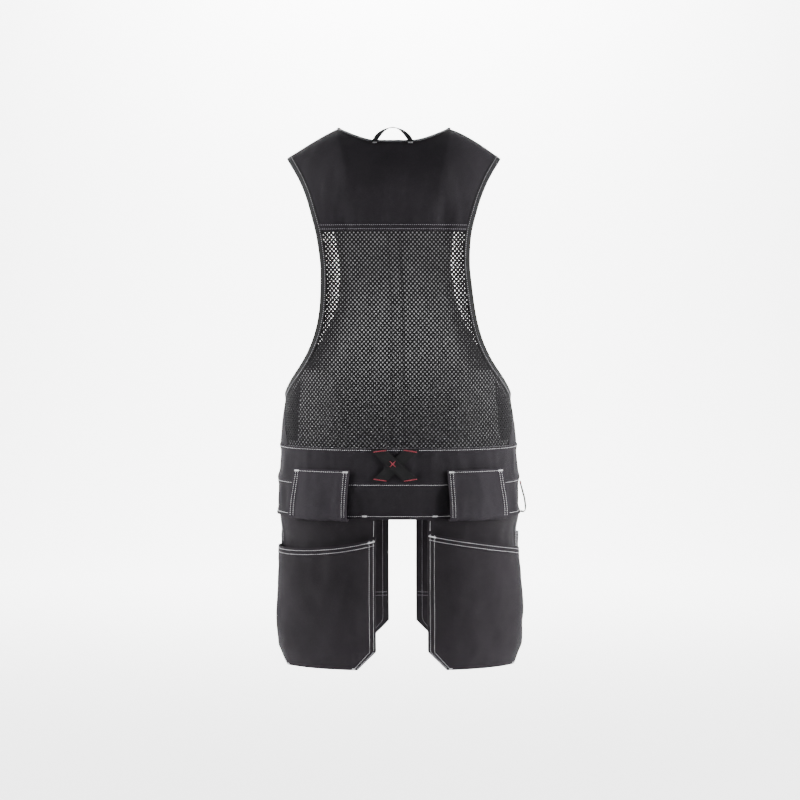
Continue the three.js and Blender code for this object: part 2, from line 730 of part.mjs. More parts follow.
// Distances round the waistband from the middle of the back at which it has columns, one list for both halves:
// under the crossed webbing, up to the hammer loop, along it, and round the side to the zip.
const loopInner = hammerLoopCentre - hammerLoopWidth / 2;
const loopOuter = hammerLoopCentre + hammerLoopWidth / 2;
const strapReach = strapSpread / 2 + strapWidth / 2;
const strapColumns = 5;
const gapColumns = 2;
const loopColumns = 6;
const sideColumns = 14;
function bandStops(z) {
  const end = walk(z).total - zipHalf - seamGap;
  return [
    ...span(strapColumns).map((share) => share * strapReach),
    ...span(gapColumns)
      .slice(1)
      .map((share) => lerp(strapReach, loopInner, share)),
    ...span(loopColumns)
      .slice(1)
      .map((share) => lerp(loopInner, loopOuter, share)),
    ...span(sideColumns)
      .slice(1)
      .map((share) => lerp(loopOuter, end, share)),
  ];
}
const stopCount = bandStops(hemZ).length - 1;
const loopFirstStop = strapColumns + gapColumns;

function bandPoint(stop, z) {
  const stops = bandStops(z);
  const at = Math.min(Math.abs(stop), stopCount - 1e-9);
  const before = Math.floor(at);
  const distance = lerp(stops[before], stops[before + 1], at - before);
  return bodyPoint(turnAtDistance((Math.sign(stop) || 1) * distance, z), z);
}

const bandColumns = Array.from({ length: 2 * stopCount + 1 }, (_, i) => i - stopCount);
const tiers = [
  { name: 'waistband_upper', bottom: bandMiddleZ + seamGap, top: bandTopZ },
  { name: 'waistband_lower', bottom: hemZ, top: bandMiddleZ },
];
for (const { name, bottom, top } of tiers) {
  const surface = (stop, rise) => bandPoint(stop, lerp(bottom, top, rise));
  addPiece(name, clothGeometry(surface, bandColumns, span(2), { thickness: bandThickness }), canvas);
}

// Point that stands off the waistband's outer face
function offBand(stop, z, lift) {
  const nearStop = 0.01;
  const nearZ = 0.5;
  const alongStop = bandPoint(stop + nearStop, z).sub(bandPoint(stop - nearStop, z));
  const alongZ = bandPoint(stop, z + nearZ).sub(bandPoint(stop, z - nearZ));
  const normal = alongStop.cross(alongZ).normalize();
  return bandPoint(stop, z).addScaledVector(normal, bandThickness + layerGap + lift);
}

// Stop coordinate of a distance from the middle of the back
function stopAt(distance, z) {
  const stops = bandStops(z);
  const want = Math.abs(distance);
  let i = 1;
  while (i < stopCount && stops[i] < want) i += 1;
  return Math.sign(distance) * (i - 1 + (want - stops[i - 1]) / (stops[i] - stops[i - 1]));
}

// Crossed webbing: two slanted straps, level at both ends, the falling one over the rising one
const straps = [
  { name: 'cross_strap_rising', slope: 1, lift: 0 },
  { name: 'cross_strap_falling', slope: -1, lift: strapThickness + seamGap },
];
for (const { name, slope, lift } of straps) {
  const surface = (across, rise) => {
    const z = lerp(bandMiddleZ + strapInset, bandTopZ - strapInset, rise);
    const middle = strapDrift + slope * (rise - 0.5) * strapSpread;
    return offBand(stopAt(middle + (across * strapWidth) / 2, z), z, lift);
  };
  addPiece(name, clothGeometry(surface, [-1, -0.5, 0, 0.5, 1], span(6), { thickness: strapThickness }), webbing);
}

// Side view of a loop sewn on at its top that stands off lower down and turns back in under its bottom fold.
// down is a share of its height and out a share of its stand-off.
const loopProfile = [
  { along: 0.0, down: 0.0, out: 0.0 },
  { along: 0.1, down: 0.1, out: 0.1 },
  { along: 0.3, down: 0.32, out: 0.42 },
  { along: 0.55, down: 0.62, out: 0.84 },
  { along: 0.8, down: 0.92, out: 1.0 },
  { along: 0.9, down: 1.0, out: 0.7 },
  { along: 1.0, down: 0.985, out: 0.0 },
];
const loopSteps = loopProfile.map(({ along }) => along).toReversed();

// Hammer loops, whose columns are those of the waistband behind them
for (const { name, side } of sides) {
  const surface = (column, rise) => {
    const along = 1 - rise;
    const z = hemZ + hammerLoopHeight * (1 - smooth(loopProfile, 'along', along, 'down'));
    const lift = smooth(loopProfile, 'along', along, 'out') * hammerLoopStandOff;
    return offBand(side * (loopFirstStop + column), z, lift);
  };
  const columns = Array.from({ length: loopColumns + 1 }, (_, i) => i);
  const rises = loopSteps.map((along) => 1 - along);
  const options = { thickness: hammerLoopThickness, outward: side };
  addPiece(`hammer_loop_${name}`, clothGeometry(surface, columns, rises, options), canvas);
}

// Small loop of tape at the right side seam
function sideLoopSurface(across, rise) {
  const along = 1 - rise;
  const z = hemZ + sideLoopInset + sideLoopHeight * (1 - smooth(loopProfile, 'along', along, 'down'));
  const lift = smooth(loopProfile, 'along', along, 'out') * sideLoopStandOff;
  return offBand(stopAt(sideLoopDistance + (across * sideLoopWidth) / 2, z), z, lift);
}
const sideLoopRises = loopSteps.map((along) => 1 - along);
const sideLoopGeometry = clothGeometry(sideLoopSurface, [-1, 0, 1], sideLoopRises, { thickness: strapThickness });
addPiece('side_loop_right', sideLoopGeometry, webbing);

// Hanging loop: a tape that leaves the yoke flat, twists a quarter turn, arches over and comes down the same way
function hangLoopGeometry() {
  const lift = tapeTop + 2 * seamGap;
  const foot = (across) => {
    const share = (Math.abs(across) / neckHalf) * yokeNeckShare * Math.sign(across);
    return frameOf(yokeSurface, share, 1, 1, yokeLimits);
  };
  const left = foot(hangLoopLeftFoot);
  const right = foot(hangLoopRightFoot);
  const lower = ({ point, normal }) => {
    const down = new THREE.Vector3(0, 0, -1).addScaledVector(normal, normal.z).normalize();
    return point.clone().addScaledVector(normal, lift).addScaledVector(down, hangLoopTuck);
  };
  const upper = ({ point, normal }) => point.clone().addScaledVector(normal, lift);
  const start = upper(left);
  const finish = upper(right);
  const path = span(hangLoopSteps).map((share) => {
    const arch = Math.sin(halfTurn * share) ** 0.75;
    const point = start.clone().lerp(finish, share);
    point.y += hangLoopLean * arch;
    point.z += hangLoopRise * arch;
    return point;
  });
  path.unshift(lower(left));
  path.push(lower(right));
  const last = path.length - 1;
  const points = path.flatMap((point, i) => {
    const along = path[Math.min(last, i + 1)].clone().sub(path[Math.max(0, i - 1)]).normalize();
    const share = clamp((i - 1) / hangLoopSteps, 0, 1);
    const width = new THREE.Vector3(Math.cos(halfTurn * share), -Math.sin(halfTurn * share), 0);
    width.addScaledVector(along, -width.dot(along)).normalize();
    const thick = width.clone().cross(along).normalize();
    return [[1, 1], [-1, 1], [-1, -1], [1, -1]].map(([w, t]) =>
      point
        .clone()
        .addScaledVector(width, (w * hangLoopTape) / 2)
        .addScaledVector(thick, ((t + 1) * hangLoopThickness) / 2),
    );
  });
  const triangles = [[0, 1, 2], [0, 2, 3]];
  for (let s = 0; s < last; s += 1) {
    for (let k = 0; k < 4; k += 1) {
      const here = 4 * s;
      const next = here + 4;
      const l = (k + 1) % 4;
      triangles.push([here + k, next + l, here + l], [here + k, next + k, next + l]);
    }
  }
  const end = 4 * last;
  triangles.push([end, end + 2, end + 1], [end, end + 3, end + 2]);
  return geometryFrom(points, triangles);
}
addPiece('hang_loop', hangLoopGeometry(), webbing);

// Holsters: a backing that hangs from the hem and a pocket that bows out from it, open at the top
const holsterShares = span(8);
const bulgeAlong = [
  { rise: 0.0, bulge: 0.0 },
  { rise: 0.16, bulge: 0.62 },
  { rise: 0.45, bulge: 1.0 },
  { rise: 0.75, bulge: 0.92 },
  { rise: 1.0, bulge: 0.72 },
];
for (const holster of holsters) {
  const { name, face, side, start, width, length } = holster;
  const topZ = hemZ - seamGap;
  const bottomZ = topZ - length;
  const outward = face === 'back' ? side : -side;
  const place = (share, z) => {
    const inset = clamp(holsterChamfer - (z - bottomZ), 0, holsterChamfer);
    const distance = start + inset + share * (width - 2 * inset);
    return bodyPoint(turnAtDistance(side * distance, z, face), z);
  };
  const backing = (share, rise) => place(share, lerp(bottomZ, topZ, rise));
  const backingRises = [0, holsterChamfer / length, 0.3, 0.5, 0.65, 0.75, 0.84, 0.92, 1];
  const backingGeometry = clothGeometry(backing, holsterShares, backingRises, {
    thickness: backingThickness,
    outward,
  });
  addPiece(`holster_${name}_backing`, backingGeometry, canvas);

  const mouth = (share) => {
    const drop = lerp(holster.inner, holster.outer, share);
    const sag = 4 * share * (1 - share) * (holster.middle - (holster.inner + holster.outer) / 2);
    return topZ - drop - sag;
  };
  const chamferRise = 0.16;
  const pocket = (share, rise) => {
    const shoulderZ = bottomZ + holsterChamfer;
    const low = lerp(bottomZ, shoulderZ, rise / chamferRise);
    const high = lerp(shoulderZ, mouth(share), (rise - chamferRise) / (1 - chamferRise));
    return place(share, rise <= chamferRise ? low : high);
  };
  const layer = (share, rise) => {
    const bow = (1 - (2 * share - 1) ** 4) * smooth(bulgeAlong, 'rise', rise, 'bulge');
    return backingThickness + seamGap + pocketDepth * bow;
  };
  const pocketRises = [0, 0.08, chamferRise, 0.35, 0.6, 0.8, 0.9, 1];
  const pocketGeometry = clothGeometry(pocket, holsterShares, pocketRises, {
    thickness: pocketThickness,
    layer,
    outward,
  });
  addPiece(`holster_${name}_pocket`, pocketGeometry, canvas);
}

export default group;
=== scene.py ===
"""Dresses the solid model of a utility work vest in cloth, net, tape, webbing and thread.

Sizes of the cloth are in millimetres in this file and are turned to metres where a mesh is made.
The wearer faces +Y, so the back of the vest faces -Y. The origin is the seat on the shoulders.
"""

import math

import bpy
import numpy as np
from bpy.props import FloatProperty, FloatVectorProperty, PointerProperty
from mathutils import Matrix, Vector, noise


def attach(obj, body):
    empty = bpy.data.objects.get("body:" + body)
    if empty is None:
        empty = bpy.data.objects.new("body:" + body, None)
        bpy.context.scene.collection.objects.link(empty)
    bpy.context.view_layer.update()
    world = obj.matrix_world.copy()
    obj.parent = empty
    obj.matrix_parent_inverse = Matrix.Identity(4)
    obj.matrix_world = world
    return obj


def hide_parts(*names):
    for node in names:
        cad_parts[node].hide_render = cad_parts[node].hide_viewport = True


bl_info = {
    "name": "Utility Work Vest",
    "version": (1, 0, 0),
    "blender": (4, 5, 0),
    "location": "View3D > Sidebar > Vest",
    "description": "Cloth, net, tape and stitching of a utility work vest",
    "category": "Add Mesh",
}

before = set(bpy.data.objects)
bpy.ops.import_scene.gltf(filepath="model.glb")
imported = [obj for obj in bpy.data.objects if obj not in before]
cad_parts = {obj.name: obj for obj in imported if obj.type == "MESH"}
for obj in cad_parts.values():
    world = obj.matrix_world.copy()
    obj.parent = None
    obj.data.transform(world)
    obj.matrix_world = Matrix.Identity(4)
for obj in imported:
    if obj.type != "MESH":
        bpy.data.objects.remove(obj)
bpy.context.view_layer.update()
MM = 0.001


# Sizes of the solid model that the cloth follows, in millimetres
VEST_WIDTH = 450
VEST_DEPTH = 290
BODY_LENGTH = 690
BACK_POWER = 2.4
FRONT_POWER = 2.8
TAPE_WIDTH = 9.5
NECK_TAPE = 5
SEAM_GAP = 0.3
TAPE_REACH = TAPE_WIDTH + SEAM_GAP
SHOULDER_HALF = 200 - TAPE_REACH
SHOULDER_DROP = 27
SHOULDER_CURVES = (1.15, 1.3)
NECK_HALF = 104
NECK_RISE = 22
BACK_NECK_DIP = 27
BACK_NECK_FLAT = 70
FRONT_NECK_DIP = 92
BACK_ROUND = 130
FRONT_ROUND = 115
BACK_NARROW = 272
FRONT_NARROW = 214
SIDE_SEAM_TURN = math.radians(71)
SIDE_PANEL_RISE = 35
HEM_Z = -BODY_LENGTH
BAND_TOP_Z = HEM_Z + 129
BAND_MIDDLE_Z = BAND_TOP_Z - 62
SIDE_SEAM_HEIGHT = 92 - TAPE_REACH
UNDERARM_Z = BAND_TOP_Z + SIDE_SEAM_HEIGHT
ARMHOLE_DEPTH = -SHOULDER_DROP - UNDERARM_Z
YOKE_SEAM_Z = NECK_RISE - 190
ZIP_HALF = 13
BAND_THICKNESS = 2.4
LAYER_GAP = 0.7
LOOP_WIDTH = 112
LOOP_HEIGHT = 89
LOOP_CENTRE = 144
LOOP_STAND_OFF = 13
POCKET_DEPTH = 24
CHAMFER = 34

NECK_MIDDLE_Z = -130
STRAP_HALF = 14.5
STRAP_LEAN = 61
STRAP_CENTRE = -6
HEM_TACKS = (-62, -208, 66, 212)
SIDE_LOOP_PLACE = 279
SIDE_LOOP_HALF = 10
SIDE_LOOP_HEIGHT = 56
SIDE_LOOP_STAND_OFF = 9
ZIP_LAP = 2.5
ZIP_TEETH = 210
MOUTH_HEM = 18
LEAST_POCKET_LIFT = 2.1
YOKE_HEM = 18
YOKE_SPAN = 100
BESIDE_LINE = (-2.4, -1.1, 0.0, 1.1, 2.4)
LEAST_STEP = 0.35
CROSSING_TACK = (-15.5, -5.5)
NET_CLOSING = 0.6
NET_CLOSING_BELOW = 0.12
NET_CLOSING_Z = -420
STRAND_RISE = 0.35
INNER_SEAMS = (-862.5, -869.0)

# Sizes of the stage and the narrowest flat sheet, in metres, and the camera's tilt in degrees
LEAST_FLAT = 0.0101
FLOOR_Z = -1.5
FLOOR_HALF = 9.0
WALL_Y = 5.0
WALL_ROUND = 1.6
WALL_TOP = 8.0
CAMERA_PLACE = (0.0065, -4.0, -0.275)
CAMERA_TILT = 2.94

# Rows of level, half width, back depth, front depth and sideways drift, as shares of the sizes above
BODY_SECTIONS = (
    (0.0, 0.97, 0.84, 0.8, -0.011),
    (0.12, 0.955, 0.885, 0.86, -0.011),
    (0.25, 0.93, 0.915, 0.9, -0.011),
    (0.45, 0.917, 0.92, 0.93, 0.003),
    (0.62, 0.92, 0.935, 0.95, 0.005),
    (0.68, 0.928, 0.94, 0.96, 0.006),
    (0.74, 0.951, 0.95, 0.97, 0.007),
    (0.81, 0.973, 0.965, 0.98, 0.008),
    (0.915, 0.995, 0.985, 1.0, 0.009),
    (1.0, 1.0, 1.0, 1.02, 0.009),
    (1.04, 0.979, 1.0, 1.022, 0.008),
    (1.12, 0.984, 1.005, 1.028, 0.008),
    (1.2, 0.997, 1.01, 1.035, 0.008),
    (1.4, 1.012, 1.02, 1.045, 0.01),
)

# Rows of drop below the shoulder, share out to the shoulder and share out to the side
BACK_ARMHOLE = (
    (0.0, 1.0, 0.0),
    (0.086, 0.64, 0.0),
    (0.156, 0.42, 0.0),
    (0.222, 0.27, 0.0),
    (0.32, 0.09, 0.0),
    (0.45, 0.0, 0.0),
    (0.587, 0.0, 0.05),
    (0.653, 0.0, 0.1),
    (0.719, 0.0, 0.185),
    (0.785, 0.0, 0.32),
    (0.853, 0.0, 0.52),
    (0.923, 0.0, 0.79),
    (0.964, 0.0, 0.92),
    (1.0, 0.0, 0.985),
)
FRONT_ARMHOLE = (
    (0.0, 1.0, 0.0),
    (0.086, 0.6, 0.0),
    (0.156, 0.38, 0.0),
    (0.222, 0.22, 0.0),
    (0.32, 0.07, 0.0),
    (0.45, 0.0, 0.0),
    (0.587, 0.0, 0.05),
    (0.653, 0.0, 0.13),
    (0.719, 0.0, 0.25),
    (0.785, 0.0, 0.41),
    (0.853, 0.0, 0.59),
    (0.923, 0.0, 0.8),
    (0.964, 0.0, 0.915),
    (0.985, 0.0, 0.965),
    (1.0, 0.0, 1.0),
)

# Rows of place across, slant, top level, bottom level, width and depth of the worn cloth's soft folds
FOLDS = (
    (-0.72, 0.02, 0.6, 0.84, 0.04, -0.01),
    (-0.62, 0.18, 0.55, 0.86, 0.045, 0.009),
    (0.52, 0.12, 0.5, 0.84, 0.05, 0.01),
    (0.7, 0.04, 0.62, 0.84, 0.04, -0.008),
    (-0.34, 0.0, 0.78, 1.06, 0.04, 0.008),
    (0.3, 0.0, 0.78, 1.06, 0.04, 0.008),
    (-0.46, 0.04, 0.14, 0.28, 0.04, -0.009),
    (0.46, -0.04, 0.14, 0.28, 0.04, -0.009),
)

# Rows of name, face, side, start, width, length and the mouth's drop at its inner end, middle and outer end
HOLSTERS = (
    ("rear_left", "back", -1, 41, 213, 274, 34, 52, 54),
    ("rear_right", "back", 1, 53, 213, 274, 24, 44, 64),
    ("front_left", "front", -1, 19, 238, 262, 40, 48, 40),
    ("front_right", "front", 1, 34, 238, 262, 40, 48, 40),
)

# Rows of share along a loop from its top, share of its height and share of its stand-off
LOOP_PROFILE = (
    (0.0, 0.0, 0.0),
    (0.1, 0.1, 0.1),
    (0.3, 0.32, 0.42),
    (0.55, 0.62, 0.84),
    (0.8, 0.92, 1.0),
    (0.9, 1.0, 0.7),
    (1.0, 0.985, 0.0),
)


def smooth_column(rows, column):
    """Dense samples of one column of a table against its first, smooth through every row."""
    last = len(rows) - 1

    def slope(j):
        a, b = rows[max(0, j - 1)], rows[min(last, j + 1)]
        return (b[column] - a[column]) / (b[0] - a[0])

    places, values = [], []
    for i in range(last):
        a, b = rows[i], rows[i + 1]
        step = b[0] - a[0]
        for t in np.linspace(0, 1, 17)[: 17 if i == last - 1 else 16]:
            rise = t * t * (3 - 2 * t)
            bend = t * (1 - t) ** 2 * step * slope(i) - t * t * (1 - t) * step * slope(i + 1)
            places.append(a[0] + t * step)
            values.append(a[column] + (b[column] - a[column]) * rise + bend)
    return np.array(places), np.array(values)


SECTION_COLUMNS = [smooth_column(BODY_SECTIONS, column) for column in range(1, 5)]
ARMHOLE_COLUMNS = {
    "back": [smooth_column(BACK_ARMHOLE, column) for column in (1, 2)],
    "front": [smooth_column(FRONT_ARMHOLE, column) for column in (1, 2)],
}
PROFILE_COLUMNS = [smooth_column(LOOP_PROFILE, column) for column in (1, 2)]
BULGE_COLUMN = smooth_column(((0.0, 0.0), (0.16, 0.62), (0.45, 1.0), (0.75, 0.92), (1.0, 0.72)), 1)


def section(z):
    """Half width, back depth, front depth and drift of the worn form at a height."""
    level = -np.asarray(z, float) / BODY_LENGTH
    half, back, front, drift = (np.interp(level, *column) for column in SECTION_COLUMNS)
    return half * VEST_WIDTH / 2, back * VEST_DEPTH / 2, front * VEST_DEPTH / 2, drift * VEST_WIDTH


def fold_at(x, z):
    """Depth of the soft folds at a place across and a height."""
    level = -z / BODY_LENGTH
    half, _, _, drift = section(z)
    total = np.zeros(np.broadcast(x, z).shape)
    for across, slant, top, bottom, width, depth in FOLDS:
        along = np.clip((level - top) / (bottom - top), 0, 1)
        away = (x - drift - (across + slant * along) * half) / (width * VEST_WIDTH)
        total = total + depth * VEST_WIDTH * np.exp(-away * away) * np.sin(math.pi * along) ** 2
    return total


def form_point(turn, z):
    """Point of the worn form at a turn from the middle of the back and a height."""
    turn, z = np.broadcast_arrays(np.asarray(turn, float), np.asarray(z, float))
    half, back, front, drift = section(z)
    sin, cos = np.sin(turn), np.cos(turn)
    on_back = cos >= 0
    depth = np.where(on_back, back, front)
    power = np.where(on_back, BACK_POWER, FRONT_POWER)
    reach = (np.abs(sin / half) ** power + np.abs(cos / depth) ** power) ** (-1 / power)
    reach = reach + np.where(on_back, fold_at(drift + reach * sin, z) * cos, 0)
    return np.stack([drift + reach * sin, -reach * cos, z], -1)


def depth_at(across, z, face):
    """Distance of the back or the front from the middle, at a place across and a height."""
    half, back, front, _ = section(z)
    depth, power = (back, BACK_POWER) if face == "back" else (front, FRONT_POWER)
    share = np.minimum(1, np.abs(across) / half)
    return depth * (1 - share**power) ** (1 / power)


def walk(z, steps=180):
    """Turns round half the form at a height, and the distance walked to each."""
    turns = np.linspace(0, math.pi, steps + 1)
    points = form_point(turns, np.full(steps + 1, float(z)))
    lengths = np.concatenate([[0], np.cumsum(np.linalg.norm(np.diff(points, axis=0), axis=1))])
    return turns, lengths


def turn_at(distance, z, face="back"):
    """Turn at a distance round the form from the middle of the back or of the front."""
    distance, z = np.broadcast_arrays(np.asarray(distance, float), np.asarray(z, float))
    levels = np.round(z, 1)
    turns = np.empty(distance.shape)
    for level in np.unique(levels):
        pick = levels == level
        ring, lengths = walk(level)
        want = np.abs(distance[pick])
        want = want if face == "back" else lengths[-1] - want
        turns[pick] = np.where(distance[pick] < 0, -1, 1) * np.interp(want, lengths, ring)
    return turns


def round_form(distance, z, face="back"):
    return form_point(turn_at(distance, z, face), z)


def armhole_half(z, face):
    """Half width of the cloth between the armholes at a height."""
    narrow = (BACK_NARROW if face == "back" else FRONT_NARROW) / 2 - TAPE_REACH
    drop = np.clip((-SHOULDER_DROP - np.asarray(z, float)) / ARMHOLE_DEPTH, 0, 1)
    to_shoulder, to_side = (np.clip(np.interp(drop, *column), 0, 1) for column in ARMHOLE_COLUMNS[face])
    return narrow + to_shoulder * (SHOULDER_HALF - narrow) + to_side * (section(z)[0] - narrow)


def armhole_turn(z, face):
    half = armhole_half(z, face)
    turn = np.arctan2(half, depth_at(half, z, face))
    return turn if face == "back" else math.pi - turn


def net_edge_turn(z):
    z = np.asarray(z, float)
    down = np.clip((UNDERARM_Z - z) / SIDE_SEAM_HEIGHT, 0, 1)
    return armhole_turn(np.maximum(z, UNDERARM_Z), "back") * (1 - down) + SIDE_SEAM_TURN * down


def front_edge_turn(z):
    return armhole_turn(np.maximum(z, UNDERARM_Z + SIDE_PANEL_RISE), "front")


def top_edge(across, face):
    """Height of the neck and the shoulders at a place across."""
    out = np.clip((np.abs(across) - NECK_HALF) / (SHOULDER_HALF - NECK_HALF), 0, 1.2)
    curve = np.where(np.asarray(across) < 0, *SHOULDER_CURVES)
    shoulder = NECK_RISE - (NECK_RISE + SHOULDER_DROP) * out**curve
    if face == "back":
        flat = BACK_NECK_FLAT / 2
        out = np.clip((np.abs(across) - flat) / (NECK_HALF - flat), 0, 1)
        neck = NECK_RISE - BACK_NECK_DIP * (1 - out**1.5)
    else:
        out = np.clip(np.abs(across) / NECK_HALF, 0, 1)
        neck = NECK_RISE - FRONT_NECK_DIP * (1 - out**2.6)
    return np.where(np.abs(across) >= NECK_HALF, shoulder, neck)


def upper_point(base, rise, face, side):
    """Point of the shoulder part, from the yoke seam (rise 0) to the shoulder or neck (rise 1)."""
    lift = np.sin(rise * math.pi / 2)
    edge_z = YOKE_SEAM_Z + (-SHOULDER_DROP - YOKE_SEAM_Z) * lift
    edge = armhole_half(YOKE_SEAM_Z, face)
    keep = ZIP_HALF + SEAM_GAP if face == "front" else 0
    base_drift = section(YOKE_SEAM_Z)[3]
    base_across = base[..., 0] - base_drift

    def widen(half):
        return side * keep + (base_across - side * keep) * (half - keep) / (edge - keep)

    top_across = widen(armhole_half(-SHOULDER_DROP, face))
    across = widen(armhole_half(edge_z, face))
    top = top_edge(top_across, face)
    z = YOKE_SEAM_Z + (top - YOKE_SEAM_Z) * lift
    ridge = np.where(np.abs(top_across) >= NECK_HALF, top, NECK_RISE)
    curve = np.minimum(BACK_ROUND if face == "back" else FRONT_ROUND, ridge - YOKE_SEAM_Z)
    under = np.clip((ridge - z) / curve, 0, 1)
    roll = np.sqrt(1 - (1 - under) ** 2)
    lean = fold_at(across + base_drift, z) if face == "back" else 0
    depth = (depth_at(across, z, face) + lean) * roll + SEAM_GAP / 2
    return np.stack([across + section(z)[3], (-1 if face == "back" else 1) * depth, z], -1)


def yoke_surface(across, rise):
    across, rise = np.broadcast_arrays(np.asarray(across, float), np.asarray(rise, float))
    base = form_point(across * net_edge_turn(YOKE_SEAM_Z), np.full(across.shape, float(YOKE_SEAM_Z)))
    return upper_point(base, rise, "back", np.sign(across))


def net_surface(across, rise):
    z = BAND_TOP_Z + SEAM_GAP + (YOKE_SEAM_Z - BAND_TOP_Z - 2 * SEAM_GAP) * np.asarray(rise, float)
    return form_point(across * net_edge_turn(z), z)


def front_surface(side, share, rise):
    share, rise = np.broadcast_arrays(np.asarray(share, float), np.asarray(rise, float))
    z = BAND_TOP_Z + SEAM_GAP + (YOKE_SEAM_Z - BAND_TOP_Z - SEAM_GAP) * np.minimum(rise, 1)
    across = ZIP_HALF + SEAM_GAP
    zip_turn = math.pi - np.arctan2(across, depth_at(across, z, "front"))
    base = form_point(side * (zip_turn + (front_edge_turn(z) - zip_turn) * share), z)
    upper = upper_point(base, np.clip(rise - 1, 0, 1), "front", side)
    return np.where((rise <= 1)[..., None], base, upper)


def side_surface(side, share, rise):
    share, rise = np.broadcast_arrays(np.asarray(share, float), np.asarray(rise, float))
    top = UNDERARM_Z + SIDE_PANEL_RISE * share**1.6
    bottom = BAND_TOP_Z + SEAM_GAP
    z = bottom + (top - bottom) * rise
    clear = SEAM_GAP / section(z)[0]
    top_turn = np.where(share > 0, armhole_turn(top, "front"), net_edge_turn(UNDERARM_Z))
    low = net_edge_turn(BAND_TOP_Z) + (front_edge_turn(BAND_TOP_Z) - net_edge_turn(BAND_TOP_Z)) * share
    seam = net_edge_turn(z) + (front_edge_turn(z) - net_edge_turn(z)) * share
    turn = np.where((share == 0) | (share == 1), seam, low + (top_turn - low) * rise)
    return form_point(side * (turn + clear - 2 * clear * share), z)


def unit(vectors):
    return vectors / np.linalg.norm(vectors, axis=-1, keepdims=True)


def middle_of(points):
    """Points on the middle line of the vest, level with the points given but below the neck."""
    nought = 0 * points[..., 0]
    return np.stack([nought, nought, np.minimum(points[..., 2], NECK_MIDDLE_Z)], -1)


def facing_out(grid):
    """Unit normals of a grid of points, away from the middle line of the vest."""
    normal = np.cross(np.gradient(grid, axis=1), np.gradient(grid, axis=0))
    normal /= np.linalg.norm(normal, axis=-1, keepdims=True) + 1e-12
    return normal * (1 if np.sum(normal * (grid - middle_of(grid))) > 0 else -1)


def cloth_noise(grid, size, seed):
    flat = grid.reshape(-1, 3) / size + seed
    values = [noise.noise(Vector(point)) for point in flat]
    return np.array(values).reshape(grid.shape[:-1])


def stops(start, end, step, lines=()):
    """Places from start to end about a step apart, with closer ones at each stitch line."""
    count = max(2, round(abs(end - start) / step))
    places = list(np.linspace(start, end, count + 1))
    for line in lines:
        places += [line + offset for offset in BESIDE_LINE]
    low, high = min(start, end), max(start, end)
    kept = []
    for place in sorted(place for place in places if low <= place <= high):
        if not kept or place - kept[-1] > LEAST_STEP:
            kept.append(place)
    kept[-1] = high
    return np.array(kept)


def pulled(places, lines, depth=0.45, width=1.3):
    """How far stitch lines pull the cloth in at each place."""
    total = np.zeros(np.shape(places))
    for line in lines:
        total -= depth * np.exp(-(((np.asarray(places) - line) / width) ** 2))
    return total


def make_piece(name, points, faces, finishes, node=(), finish_of=None, sharp=50):
    """Mesh object from points in millimetres, riding on the vest, in place of the nodes given."""
    mesh = bpy.data.meshes.new(name)
    mesh.from_pydata([tuple(point) for point in np.asarray(points, float) * MM], [], faces)
    piece = bpy.data.objects.new(name, mesh)
    bpy.context.scene.collection.objects.link(piece)
    for finish in finishes:
        mesh.materials.append(finish)
    if finish_of is not None:
        mesh.polygons.foreach_set("material_index", finish_of)
    mesh.polygons.foreach_set("use_smooth", [True] * len(mesh.polygons))
    mesh.set_sharp_from_angle(angle=math.radians(sharp))
    mesh.validate()
    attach(piece, "root")
    for one in node:
        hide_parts(one)
    return piece


def turned_out(points, faces):
    """The faces, all turned over if the body they close is inside out."""
    volume = 0.0
    for face in faces:
        for i in range(1, len(face) - 1):
            a, b, c = points[face[0]], points[face[i]], points[face[i + 1]]
            volume += float(np.dot(a, np.cross(b, c)))
    return faces if volume > 0 else [tuple(reversed(face)) for face in faces]


